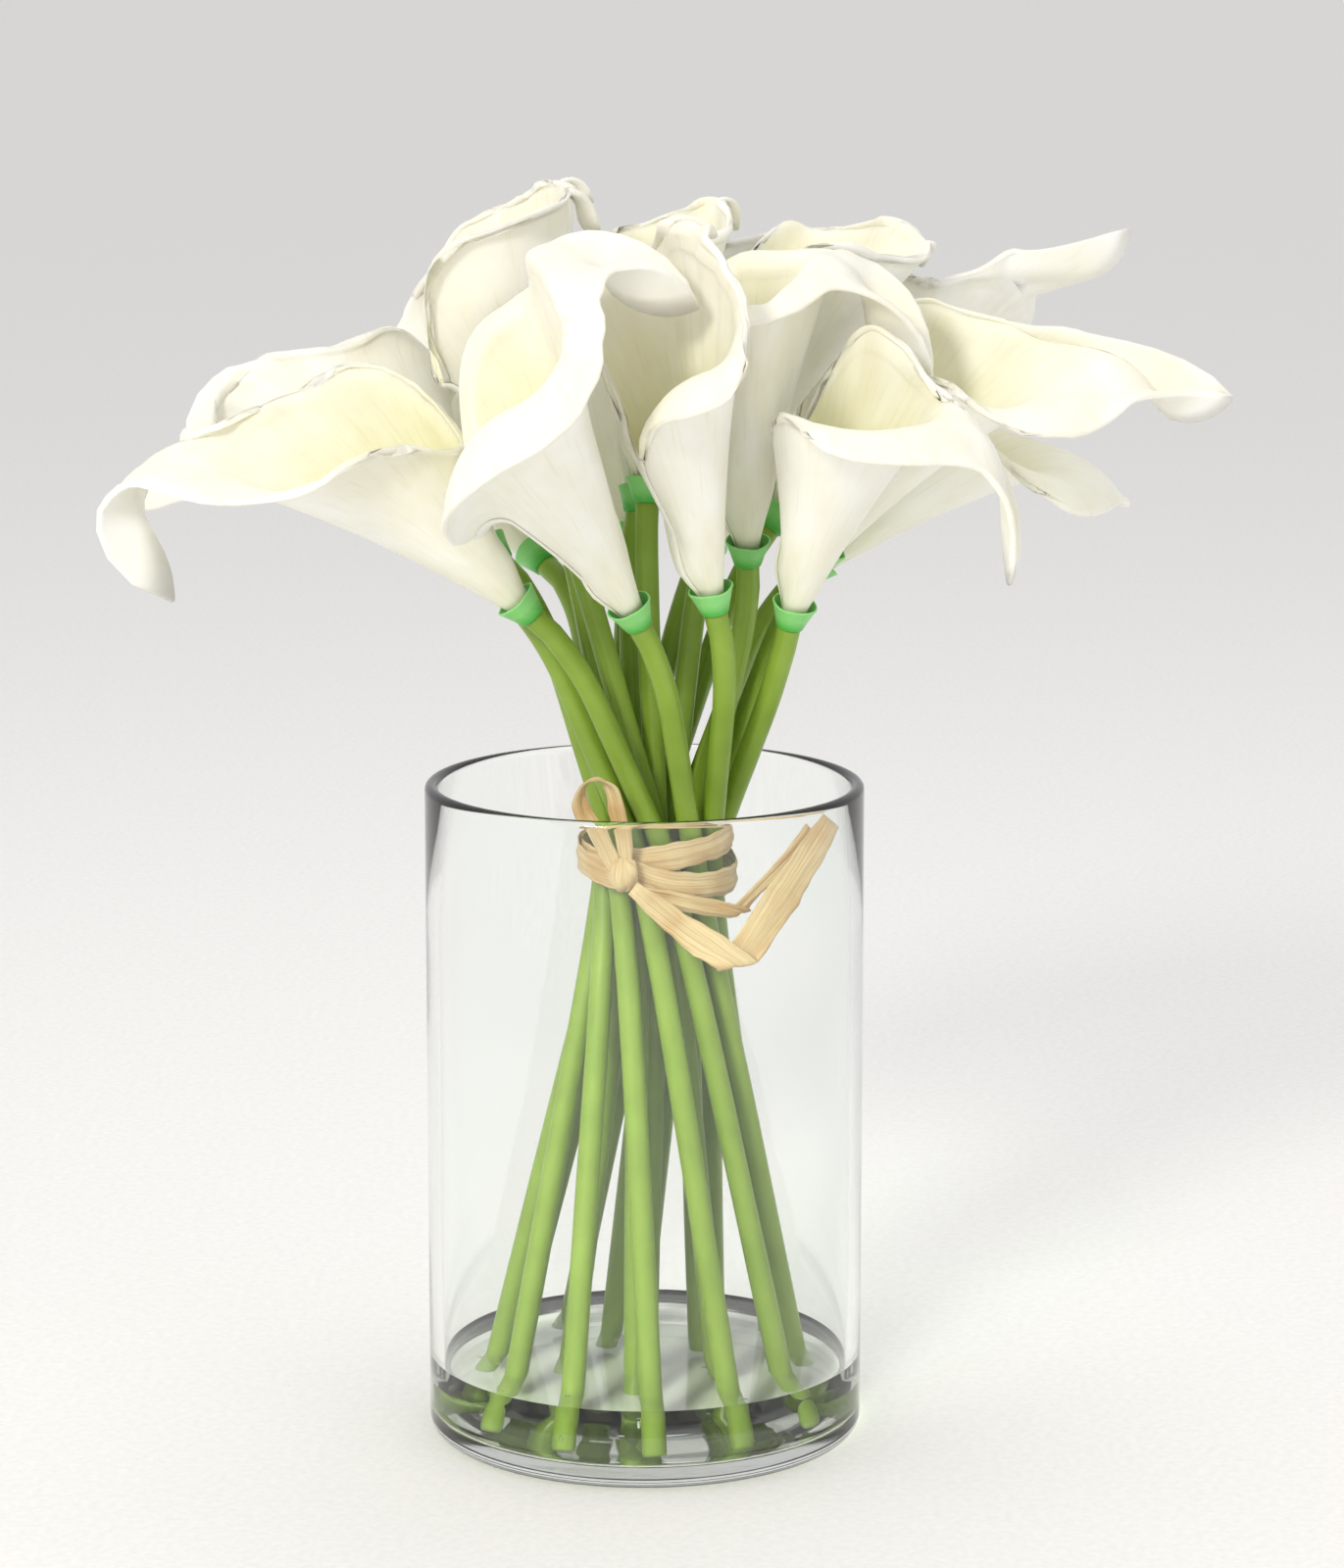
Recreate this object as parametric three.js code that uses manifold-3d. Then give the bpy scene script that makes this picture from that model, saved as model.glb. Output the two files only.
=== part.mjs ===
// Calla lilies in a glass cylinder vase: eighteen foam lilies on plastic stems, spiralled through
// a raffia tie and standing on the vase's floor in shallow water. Millimetres, +Z up; the origin is
// the centre of the vase's underside, and -Y is the front.
import * as THREE from "three";
import { mergeVertices } from "three/addons/utils/BufferGeometryUtils.js";
import Module from "manifold-3d";

const wasm = await Module();
wasm.setup();

const clearance = 0.3; // between pieces that touch

// The vase: a straight glass cylinder with a fire-polished rim.
const vaseRadius = 65;
const vaseHeight = 198;
const vaseWall = 4;
const vaseFloor = 6;
const vaseHeelRadius = 5; // round of the outer bottom edge
const vaseCoveRadius = 4; // round where the wall meets the floor inside
const waterDepth = 17;
const roundSides = 32;

// The stems and what they carry.
const stemRadius = 3.4;
const stemSides = 6;
const stemSteps = 10;
const collarFoot = 1.5; // how far the collar reaches below its seat
const collarHeight = 6.5; // and above it
const collarFootRadius = stemRadius + 0.7;
const collarMouthRadius = stemRadius + 3.2;
const collarWall = 0.6;
const collarSeatRadius = stemRadius + 0.8;
const collarSides = 10;
const neckRadius = 1.2; // the wire that carries the spadix
const neckHeight = 9;
const spadixRadius = 2.4;
const spadixLength = 46;
const spadixTop = neckHeight + spadixLength;

// The bunch: where the stems pass the tie, and how they spread below it.
const waist = { x: 4, y: 0, z: 172 };
const ringGap = 0.6; // between the stems of the two rings
const coreGap = 1; // between the inner ring and the stem in the middle
const innerRing = 2 * stemRadius + coreGap;
const outerRing = innerRing + 2 * stemRadius + ringGap;
const rings = [
  { count: 12, radius: outerRing, first: 258 },
  { count: 5, radius: innerRing, first: 290 },
  { count: 1, radius: 0, first: 0 },
];
const footRoom = 9; // between the outer feet and the glass
const footSpread = (vaseRadius - vaseWall - footRoom - stemRadius) / outerRing;
const footTwist = 45;
const stemGap = 0.8;
const upperHeights = [0.25, 0.5, 0.72]; // shares of the way from the tie to the collar

// The raffia tie: flat strips about as thick as card.
const raffiaThickness = 0.7;
const bandRoom = 3.5; // between the outer stems and the middle of the first turn
const bandRadius = outerRing + stemRadius + bandRoom;
const bandWidth = 7.4;
const bandRise = 5.5; // how far the two turns part at the right
const bandMiddle = 174;
const bandKnotAngle = 247;
const bandSteps = 16; // per turn
// Places here are from where the knot is tied: degrees on round the bunch, out from the band's
// first turn, and up.
const knot = { centre: [1.8, 5.8, 0], size: [4.6, 3.2, 5] };
const loopPath = [
  { at: [-2.3, 6.9, 1.5], half: [1.8, 0.4, 1] },
  { at: [-9.5, 10.5, 12], half: [2.4, 0.6, 1.2] },
  { at: [-15.5, 14.2, 22.5], half: [2.2, 1.6, 0.6] },
  { at: [-13.6, 13.8, 28.2], half: [0.4, 2.6, -0.6] },
  { at: [-8, 11.7, 30], half: [-0.6, 2.7, 0] },
  { at: [-2.6, 9.8, 27], half: [-1.6, 1.8, -0.6] },
  { at: [-0.1, 8.5, 20], half: [-2.5, 0.6, -0.4] },
  { at: [2.5, 6.5, 10], half: [-2.4, 0.4, -0.4] },
  { at: [3.5, 5.5, 2], half: [-1.8, 0.4, -0.2] },
];
const glassRoom = vaseRadius - vaseWall - bandRadius; // the ends lean out towards the glass
const longTail = {
  start: [7.8, 6.2, -3.6],
  middle: [38.9, 5.3, -15.4],
  fold: [64, 0.334 * glassRoom, -25.6],
  end: [97.6, 0.792 * glassRoom, 13],
  halfWidth: [2.2, 4, 4.6, 3],
};
const shortTail = {
  start: [12, 3, -5.4],
  middle: [44.7, 2.2, -9],
  fold: [74, 0.193 * glassRoom, -12.6],
  end: [97.2, 0.661 * glassRoom, 9],
  halfWidth: [1.6, 2.6, 1.9, 3],
};

// One spathe: a leaf of foam rolled into a funnel. Lengths run along the leaf from the throat:
// up the funnel (body), over the rolled lip, and out to the tip. Lists of four are for the back,
// the left, the right and the front of the leaf; the tip is at the back.
const throatRadius = 2.7;
const throatAngle = 13;
const bellyTurn = 12; // how much the funnel opens towards the lip
const foam = { throat: 0.8, full: 1.8, rim: 1.3, fullAt: 20 };
const flap = { throat: 0.55, full: 1.25 }; // half the step between the overlapping edges
const flapReach = { throat: 0.32, rim: 0.1 }; // how far each edge passes the front line, in radians
const spatheColumns = [0, 0.12, 0.3, 0.6, 1, 1.4, 1.8, 2.2, 2.5];
const spatheRows = { body: 2, lip: 3, tip: 1 };
const usual = {
  body: [82, 68, 68, 46],
  lip: [26, 28, 28, 16],
  roll: [60, 105, 105, 60],
  tip: { length: 38, width: 0.2, curl: 90, lift: 80, swing: 0 },
};
const roomBetween = 7; // between the middles of two neighbouring leaves
const spadixRoom = 5.5; // from a spadix to the middle of its own leaf
const pushReach = { turn: 0.35, slide: 0.35 }; // how far round and along the leaf a push spreads
const give = 3; // how gently a leaf yields to its neighbour
const keep = { from: -10, to: 88, radius: 4, angle: 17, full: 68 }; // the funnel that neighbours see

// Each flower: its collar's seat, the way it grows, the side its tip is on, and where its spathe
// differs from the usual one. The first twelve stand in the outer ring at the waist.
const flowers = [
  {
    seat: [-44, -9, 258],
    grow: [-0.72, 0.1, 0.66],
    tipSide: [-0.8, 0.2, 0.1],
    body: [84, 66, 74, 46],
    tip: { length: 18, curl: 30 },
  },
  {
    seat: [-33, -26, 252],
    grow: [-0.68, -0.18, 0.72],
    tipSide: [-0.9, 0, -0.15],
    body: [94, 66, 82, 46],
    lip: [28, 26, 30, 18],
    roll: [20, 50, 120, 60],
    tip: { length: 52, curl: 130, lift: 40 },
  },
  {
    seat: [-2, -43, 252],
    grow: [-0.39, -0.34, 0.84],
    tipSide: [0.9, -0.05, 0.45],
    body: [110, 86, 94, 46],
    lip: [28, 24, 26, 20],
    roll: [110, 50, 130, 110],
    tip: { length: 46, curl: 90, lift: 100, free: true },
  },
  {
    seat: [20, -42, 256],
    grow: [-0.19, -0.25, 0.95],
    tipSide: [0.9, 0.3, 0.3],
    body: [104, 90, 80, 46],
    lip: [28, 24, 26, 16],
    roll: [60, 50, 130, 60],
    tip: { length: 20, curl: 90, lift: 60 },
  },
  {
    seat: [42, -30, 250],
    grow: [0.2, -0.32, 0.92],
    tipSide: [0.9, -0.45, -0.1],
    body: [78, 80, 72, 48],
    lip: [28, 26, 30, 20],
    roll: [90, 50, 90, 60],
    tip: { length: 46, curl: 60, lift: 10 },
  },
  {
    seat: [50, -8, 264],
    grow: [0.48, -0.28, 0.86],
    tipSide: [1, 0, 0.15],
    body: [84, 74, 70, 50],
    roll: [50, 80, 110, 60],
    tip: { length: 52, width: 0.2, curl: 60, lift: 130 },
  },
  {
    seat: [48, 12, 258],
    grow: [0.7, 0.06, 0.68],
    tipSide: [0.7, 0.2, 0.1],
    body: [72, 60, 60, 44],
    tip: { length: 14, curl: 30 },
  },
  {
    seat: [38, 29, 270],
    grow: [0.54, 0.22, 0.8],
    tipSide: [0.9, 0, 0.4],
    body: [94, 78, 78, 46],
    tip: { length: 44, curl: 20, lift: 110 },
  },
  { seat: [17, 43, 258], grow: [0.3, 0.66, 0.62], tipSide: [0.3, 0.6, -0.4] },
  { seat: [-7, 46, 260], grow: [-0.1, 0.73, 0.62], tipSide: [0, 0.6, 0.8] },
  { seat: [-30, 36, 258], grow: [-0.55, 0.62, 0.56], tipSide: [-0.3, 0.3, 0.6] },
  { seat: [-43, 14, 262], grow: [-0.6, 0.32, 0.66], tipSide: [-0.6, 0.2, 0.5], body: [84, 68, 68, 46] },
  {
    seat: [-22, -8, 274],
    grow: [-0.29, -0.03, 0.95],
    tipSide: [0.8, 0, 0.5],
    body: [94, 84, 92, 48],
    roll: [90, 60, 130, 80],
    tip: { length: 26 },
  },
  {
    seat: [30, -15, 266],
    grow: [0, -0.31, 0.95],
    tipSide: [0.9, -0.15, 0.3],
    body: [88, 78, 82, 46],
    lip: [28, 24, 26, 22],
    roll: [120, 50, 120, 80],
    tip: { length: 48, curl: 80, lift: 90, free: true },
  },
  {
    seat: [24, 12, 282],
    grow: [0.36, 0.06, 0.92],
    tipSide: [0.8, 0.2, 0.4],
    body: [84, 78, 78, 46],
    tip: { length: 20 },
  },
  {
    seat: [-2, 23, 276],
    grow: [0.12, 0.32, 0.94],
    tipSide: [0.6, 0.5, 0.6],
    body: [86, 74, 74, 46],
    tip: { length: 16 },
  },
  {
    seat: [-24, 14, 278],
    grow: [-0.2, 0.13, 0.96],
    tipSide: [0.5, 0.3, 0.8],
    body: [86, 76, 76, 46],
    tip: { length: 16 },
  },
  {
    seat: [1, 2, 282],
    grow: [0.02, 0.1, 1],
    tipSide: [0.7, 0.4, 0.4],
    body: [80, 72, 72, 44],
    tip: { length: 18 },
  },
].map(placeFlower);
const roomWays = 24; // angles round a flower at which its room is worked out
for (const flower of flowers) flower.roomAt = findRoom(flower);
const stemPaths = layStems();

function placeFlower(flower, index) {
  let place = index;
  let ring = 0;
  while (place >= rings[ring].count) {
    place -= rings[ring].count;
    ring += 1;
  }
  const { count, radius, first } = rings[ring];
  const angle = THREE.MathUtils.degToRad(first + (360 / count) * place);
  const axis = new THREE.Vector3(...flower.grow).normalize();
  const back = new THREE.Vector3(...flower.tipSide);
  back.addScaledVector(axis, -back.dot(axis)).normalize();
  const seat = new THREE.Vector3(...flower.seat);
  return {
    seat,
    axis,
    back,
    side: new THREE.Vector3().crossVectors(axis, back),
    atWaist: new THREE.Vector3(Math.cos(angle) * radius, Math.sin(angle) * radius, 0),
    reach: new THREE.Line3(
      seat.clone().addScaledVector(axis, keep.from),
      seat.clone().addScaledVector(axis, keep.to),
    ),
    body: flower.body ?? usual.body,
    lip: flower.lip ?? usual.lip,
    roll: flower.roll ?? usual.roll,
    tip: { ...usual.tip, ...flower.tip },
  };
}

// The centre line of each stem, from its foot through the tie to its collar. Stems that meet on
// the way push each other aside.
function layStems() {
  const up = new THREE.Vector3(0, 0, 1);
  const paths = flowers.map(({ atWaist, seat, axis }) => {
    const foot = atWaist.clone().multiplyScalar(footSpread);
    foot.applyAxisAngle(up, THREE.MathUtils.degToRad(footTwist));
    const tied = atWaist.clone().add(waist);
    const tilt = foot.distanceTo(atWaist) / (waist.z - vaseFloor);
    foot.z = vaseFloor + clearance + stemRadius * Math.sin(Math.atan(tilt));
    const under = seat.clone().addScaledVector(axis, -20);
    const upper = upperHeights.map((share) => tied.clone().lerp(under, share));
    return [foot, foot.clone().lerp(tied, 0.35), foot.clone().lerp(tied, 0.7), tied, ...upper, under];
  });
  const apart = 2 * stemRadius + stemGap;
  for (let round = 0; round < 200; round += 1) {
    for (let station = 1; station < paths[0].length; station += 1) {
      for (const path of paths) {
        for (const other of paths) {
          if (path === other) continue;
          const point = path[station];
          const before = nearestOn(other[station - 1], other[station], point);
          const after = nearestOn(other[station], other[Math.min(station + 1, other.length - 1)], point);
          const closest = before.distanceTo(point) < after.distanceTo(point) ? before : after;
          const away = point.clone().sub(closest).setZ(0);
          const short = apart - point.distanceTo(closest);
          if (short > 0) point.addScaledVector(away.normalize(), short * 0.3);
        }
      }
    }
  }
  return paths;
}

function nearestOn(start, end, point) {
  return new THREE.Line3(start, end).closestPointToPoint(point, true, new THREE.Vector3());
}

// Walks a chain of arcs [length, turn], starting at the throat at an angle from the flower's axis.
function walkArcs({ start, arcs }, distance) {
  let out = throatRadius;
  let up = 0;
  let angle = start;
  for (const [length, turn] of arcs) {
    const step = Math.min(distance, length);
    if (step <= 0) break;
    const curvature = turn / length;
    if (Math.abs(curvature) < 1e-6) {
      out += step * Math.sin(angle);
      up += step * Math.cos(angle);
    } else {
      out += (Math.cos(angle) - Math.cos(angle + curvature * step)) / curvature;
      up += (Math.sin(angle + curvature * step) - Math.sin(angle)) / curvature;
    }
    angle += curvature * step;
    distance -= step;
  }
  return { out, up };
}

// The arcs of the leaf at an angle round the funnel: 0 is the back, half a turn is the front.
function leafArcs(flower, angle, room) {
  const back = Math.max(0, Math.cos(angle)) ** 2;
  const front = Math.max(0, -Math.cos(angle)) ** 2;
  const side = Math.sin(angle) ** 2;
  const sideOf = (list) => (Math.sin(angle) > 0 ? list[1] : list[2]);
  const mix = (list) => list[0] * back + sideOf(list) * side + list[3] * front;
  const { length, width, curl, lift } = flower.tip;
  const tip = (length / 2) * Math.exp(-((Math.abs(angle) / width) ** 1.2)) + 1;
  const { open, roll } = room ?? flower.roomAt(angle);
  const lipLength = mix(flower.lip) * (0.35 + 0.65 * roll);
  return {
    start: THREE.MathUtils.degToRad(throatAngle * open),
    arcs: [
      [mix(flower.body), THREE.MathUtils.degToRad(bellyTurn * open)],
      [lipLength, THREE.MathUtils.degToRad(mix(flower.roll) * (0.75 + 0.25 * roll))],
      [tip, THREE.MathUtils.degToRad((curl * tip) / (length / 2))],
      [tip, THREE.MathUtils.degToRad((-lift * tip) / (length / 2))],
    ],
  };
}

// A leaf opens freely where it has room, and stands up straight where its neighbours crowd it.
// Trying ever smaller shares at each angle gives how far the funnel opens and the lip rolls.
function findRoom(flower) {
  const tries = Array.from({ length: 11 }, (_, i) => 1 - 0.1 * i);
  const crowding = (angle, room, places) => {
    const leaf = leafArcs(flower, angle, room);
    const scores = places.map((place) => {
      const point = leafPlace(flower, angle, walkArcs(leaf, leafDistance(leaf, place)));
      const spare = new THREE.Vector3();
      const own = outside(point, flower, spare);
      const others = flowers.filter((other) => other !== flower);
      return own - Math.min(...others.map((other) => outside(point, other, spare))) + roomBetween;
    });
    return Math.max(...scores);
  };
  const least = (angle, make, places) => {
    const scores = tries.map((share) => [crowding(angle, make(share), places), share]);
    return (scores.find(([score]) => score < 2) ?? scores.sort((a, b) => a[0] - b[0])[0])[1];
  };
  let table = Array.from({ length: roomWays }, (_, i) => {
    const angle = (2 * Math.PI * i) / roomWays;
    const open = Math.max(0.2, least(angle, (share) => ({ open: share, roll: 0.3 }), [0.4, 0.7, 1]));
    const roll = least(angle, (share) => ({ open, roll: share }), [1.3, 1.6, 2]);
    return { open, roll };
  });
  for (let round = 0; round < 2; round += 1) {
    table = table.map(({ open, roll }, i) => {
      const before = table[(i + roomWays - 1) % roomWays];
      const after = table[(i + 1) % roomWays];
      return {
        open: (before.open + 2 * open + after.open) / 4,
        roll: (before.roll + 2 * roll + after.roll) / 4,
      };
    });
  }
  return (angle) => {
    const place = ((((angle / (2 * Math.PI)) % 1) + 1) % 1) * roomWays;
    const low = table[Math.floor(place) % roomWays];
    const high = table[(Math.floor(place) + 1) % roomWays];
    const share = ease(0, 1, place - Math.floor(place));
    return {
      open: THREE.MathUtils.lerp(low.open, high.open, share),
      roll: THREE.MathUtils.lerp(low.roll, high.roll, share),
    };
  };
}

// How far a point is outside the funnel that a flower shows its neighbours.
function outside(point, flower, nearest) {
  const share = flower.reach.closestPointToPointParameter(point, true);
  flower.reach.at(share, nearest);
  const up = Math.max(0, keep.from + share * (keep.to - keep.from));
  const radius = keep.radius + Math.min(up, keep.full) * Math.tan(THREE.MathUtils.degToRad(keep.angle));
  return point.distanceTo(nearest) - radius;
}

// Moves a point of one flower's leaf back into the room that its neighbours leave it.
function settle(point, flower) {
  const own = new THREE.Vector3();
  const other = new THREE.Vector3();
  for (const neighbour of [...flowers, ...flowers, ...flowers]) {
    if (neighbour === flower) continue;
    const excess = outside(point, flower, own) - outside(point, neighbour, other) + roomBetween;
    const press = (excess + Math.hypot(excess, give)) / 2;
    if (press < 0.05) continue;
    const away = point.clone().sub(own).normalize().sub(point.clone().sub(other).normalize());
    point.addScaledVector(away, -press / Math.max(away.lengthSq(), 0.5));
  }
  return point;
}

// How far along the leaf a place is: 0 to 1 is the body, 1 to 2 the lip, 2 to 3 the tip.
function leafDistance({ arcs }, place) {
  const parts = [arcs[0][0], arcs[1][0], arcs[2][0] + arcs[3][0]];
  return parts.reduce((sum, length, i) => sum + length * THREE.MathUtils.clamp(place - i, 0, 1), 0);
}

function leafPlace(flower, angle, { out, up }) {
  const point = flower.seat.clone();
  point.addScaledVector(flower.axis, up + clearance + foam.throat / 2);
  point.addScaledVector(flower.back, out * Math.cos(angle));
  return point.addScaledVector(flower.side, out * Math.sin(angle));
}

// Where the middle of the leaf would lie with no neighbours.
function freePoint(flower, angle, place) {
  const leaf = leafArcs(flower, angle);
  const point = leafPlace(flower, angle, walkArcs(leaf, leafDistance(leaf, place)));
  return point.addScaledVector(flower.side, flower.tip.swing * Math.max(0, place - 2) ** 2);
}

// How far the neighbours push the leaf there.
function pushAt(flower, angle, place) {
  const free = freePoint(flower, angle, place);
  const hold = ease(0, 25, place * flower.body[1]) * (flower.tip.free ? Math.min(1, 3 - place) : 1);
  return settle(free.clone(), flower).sub(free).multiplyScalar(hold);
}

// A point on the middle of the leaf, at an angle round the funnel and a place along it. Foam
// doesn't crease, so the push is an average over the leaf around the point.
function leafPoint(flower, angle, place) {
  const point = freePoint(flower, angle, place);
  for (const turn of [-1, 0, 1]) {
    for (const slide of [-1, 0, 1]) {
      const share = ((2 - Math.abs(turn)) * (2 - Math.abs(slide))) / 16;
      const there = THREE.MathUtils.clamp(place + slide * pushReach.slide, 0, 3);
      point.addScaledVector(pushAt(flower, angle + turn * pushReach.turn, there), share);
    }
  }
  return clearOfSpadix(point, flower, place * flower.body[1]);
}

// Keeps a leaf off its own spadix.
function clearOfSpadix(point, flower, distance) {
  const up = point.clone().sub(flower.seat).dot(flower.axis);
  const centre = flower.seat.clone().addScaledVector(flower.axis, up);
  const away = point.clone().sub(centre);
  const least = THREE.MathUtils.lerp(throatRadius, spadixRadius + spadixRoom, ease(0, 30, distance));
  if (up > spadixTop + 12 || away.length() >= least) return point;
  return centre.addScaledVector(away.normalize(), least);
}

function ease(from, to, value) {
  return THREE.MathUtils.smoothstep(value, from, to);
}

// The leaf as a closed sheet: an outer and an inner skin on both sides of its middle.
function spatheGeometry(flower) {
  const rows = [];
  [spatheRows.body, spatheRows.lip, spatheRows.tip].forEach((count, part) => {
    for (let i = 0; i < count; i += 1) rows.push(part + i / count);
  });
  rows.push(3);
  const columnCount = 2 * spatheColumns.length + 3;
  const skins = [[], []];
  for (let column = 0; column < columnCount; column += 1) {
    for (const row of rows) {
      const reach = THREE.MathUtils.lerp(flapReach.throat, flapReach.rim, row / 3);
      const half = [...spatheColumns, Math.PI - reach, Math.PI + reach];
      const angle = [...half.slice(1).reverse().map((a) => -a), ...half][column];
      const middle = leafPoint(flower, angle, row);
      const along = leafPoint(flower, angle, Math.min(3, row + 0.02));
      along.sub(leafPoint(flower, angle, Math.max(0, row - 0.02)));
      const around = leafPoint(flower, angle + 0.02, row).sub(leafPoint(flower, angle - 0.02, row));
      const normal = around.cross(along).normalize();
      const distance = row * 60;
      const inFlap = Math.sign(angle) * ease(2.1, Math.PI - reach, Math.abs(angle));
      const step = inFlap * THREE.MathUtils.lerp(flap.throat, flap.full, ease(0, foam.fullAt, distance));
      const full = THREE.MathUtils.lerp(foam.throat, foam.full, ease(0, foam.fullAt, distance));
      const thick = row === 3 ? foam.rim : full;
      skins[0].push(middle.clone().addScaledVector(normal, step + thick / 2));
      skins[1].push(middle.clone().addScaledVector(normal, step - thick / 2));
    }
  }
  return sheetGeometry(skins, columnCount, rows.length);
}

// Joins two skins of columns by rows into one closed surface.
function sheetGeometry([outer, inner], columns, rows) {
  const points = [...outer, ...inner];
  const far = outer.length;
  const at = (column, row) => column * rows + row;
  const faces = [];
  const quad = (a, b, c, d) => faces.push(a, b, c, a, c, d);
  for (let c = 0; c + 1 < columns; c += 1) {
    for (let r = 0; r + 1 < rows; r += 1) {
      quad(at(c, r), at(c + 1, r), at(c + 1, r + 1), at(c, r + 1));
      quad(far + at(c, r), far + at(c, r + 1), far + at(c + 1, r + 1), far + at(c + 1, r));
    }
    quad(at(c, 0), far + at(c, 0), far + at(c + 1, 0), at(c + 1, 0));
    quad(at(c, rows - 1), at(c + 1, rows - 1), far + at(c + 1, rows - 1), far + at(c, rows - 1));
  }
  for (let r = 0; r + 1 < rows; r += 1) {
    quad(at(0, r), at(0, r + 1), far + at(0, r + 1), far + at(0, r));
    quad(at(columns - 1, r), far + at(columns - 1, r), far + at(columns - 1, r + 1), at(columns - 1, r + 1));
  }
  const geometry = new THREE.BufferGeometry().setFromPoints(points);
  geometry.setIndex(faces);
  geometry.computeVertexNormals();
  return geometry;
}

// three.js geometry to a manifold solid and back, for the joins and cuts.
function toSolid(geometry) {
  const bare = geometry.clone();
  bare.deleteAttribute("normal");
  bare.deleteAttribute("uv");
  const merged = mergeVertices(bare, 1e-3);
  return new wasm.Manifold(
    new wasm.Mesh({
      numProp: 3,
      vertProperties: merged.getAttribute("position").array,
      triVerts: new Uint32Array(merged.index.array),
    }),
  );
}

function fromSolid(solid) {
  const mesh = solid.getMesh();
  const geometry = new THREE.BufferGeometry();
  geometry.setAttribute("position", new THREE.BufferAttribute(mesh.vertProperties, 3));
  geometry.setIndex(new THREE.BufferAttribute(mesh.triVerts, 1));
  geometry.computeVertexNormals();
  return geometry;
}

function latheUp(profile, sides) {
  // LatheGeometry turns about Y; this stands it on Z.
  const points = profile.map(([r, z]) => new THREE.Vector2(r, z));
  return new THREE.LatheGeometry(points, sides).rotateX(Math.PI / 2);
}

function alongAxis(geometry, flower, height) {
  const turn = new THREE.Quaternion().setFromUnitVectors(new THREE.Vector3(0, 0, 1), flower.axis);
  const place = flower.seat.clone().addScaledVector(flower.axis, height);
  return geometry.applyMatrix4(new THREE.Matrix4().compose(place, turn, new THREE.Vector3(1, 1, 1)));
}

function stemTube(flower, radius) {
  const path = stemPaths[flowers.indexOf(flower)];
  const head = flower.seat.clone().addScaledVector(flower.axis, -collarFoot / 2);
  const section = new THREE.Shape().absarc(0, 0, radius, 0, 2 * Math.PI);
  return new THREE.ExtrudeGeometry(section, {
    steps: stemSteps,
    curveSegments: stemSides / 2,
    extrudePath: new THREE.CatmullRomCurve3([...path, head], false, "centripetal"),
  });
}

// A stem with the collar moulded on its head and the wire that carries the spadix.
function stemGeometry(flower) {
  const collar = latheUp(
    [
      [0, -collarFoot],
      [collarFootRadius, -collarFoot],
      [collarMouthRadius, collarHeight],
      [collarMouthRadius - collarWall, collarHeight],
      [collarSeatRadius, 0],
      [0, 0],
    ],
    collarSides,
  );
  const neck = new THREE.CylinderGeometry(neckRadius, neckRadius, neckHeight + 1, stemSides);
  neck.rotateX(Math.PI / 2);
  return fromSolid(
    toSolid(stemTube(flower, stemRadius))
      .add(toSolid(alongAxis(collar, flower, 0)))
      .add(toSolid(alongAxis(neck, flower, (neckHeight - 1) / 2))),
  );
}

function spadixGeometry(flower) {
  const base = neckHeight + clearance;
  const profile = [
    [0, 0],
    [spadixRadius * 0.8, 0],
    [spadixRadius, spadixLength * 0.3],
    [spadixRadius * 0.9, spadixLength * 0.8],
    [spadixRadius * 0.5, spadixLength * 0.97],
    [0, spadixLength],
  ];
  return alongAxis(latheUp(profile, stemSides), flower, base);
}

function arcPoints(centreR, centreZ, radius, from, to, steps) {
  return Array.from({ length: steps + 1 }, (_, i) => {
    const angle = THREE.MathUtils.degToRad(from + ((to - from) * i) / steps);
    return [centreR + radius * Math.cos(angle), centreZ + radius * Math.sin(angle)];
  });
}

function vaseGeometry() {
  const inner = vaseRadius - vaseWall;
  return latheUp(
    [
      [0, 0],
      ...arcPoints(vaseRadius - vaseHeelRadius, vaseHeelRadius, vaseHeelRadius, -90, 0, 3),
      ...arcPoints(vaseRadius - vaseWall / 2, vaseHeight - vaseWall / 2, vaseWall / 2, 0, 180, 4),
      ...arcPoints(inner - vaseCoveRadius, vaseFloor + vaseCoveRadius, vaseCoveRadius, 0, -90, 2),
      [0, vaseFloor],
    ],
    roundSides,
  );
}

function waterGeometry() {
  const radius = vaseRadius - vaseWall - clearance;
  const bottom = vaseFloor + clearance;
  let water = toSolid(
    latheUp(
      [
        [0, bottom],
        ...arcPoints(radius - vaseCoveRadius, bottom + vaseCoveRadius, vaseCoveRadius, -90, 0, 2),
        [radius, vaseFloor + waterDepth],
        [0, vaseFloor + waterDepth],
      ],
      roundSides,
    ),
  );
  for (const flower of flowers) {
    water = water.subtract(toSolid(stemTube(flower, stemRadius + clearance)));
  }
  return fromSolid(water);
}

// A flat strip through stations: each has a place and the vector to half the strip's width.
function ribbonGeometry(stations) {
  const skins = [[], []];
  stations.forEach(({ at, half }, i) => {
    const before = stations[Math.max(0, i - 1)].at;
    const after = stations[Math.min(stations.length - 1, i + 1)].at;
    const normal = after.clone().sub(before).cross(half).normalize().multiplyScalar(raffiaThickness / 2);
    for (const edge of [-1, 1]) {
      const rim = at.clone().addScaledVector(half, edge);
      skins[0].push(rim.clone().add(normal));
      skins[1].push(rim.clone().sub(normal));
    }
  });
  return sheetGeometry(skins, stations.length, 2);
}

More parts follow.
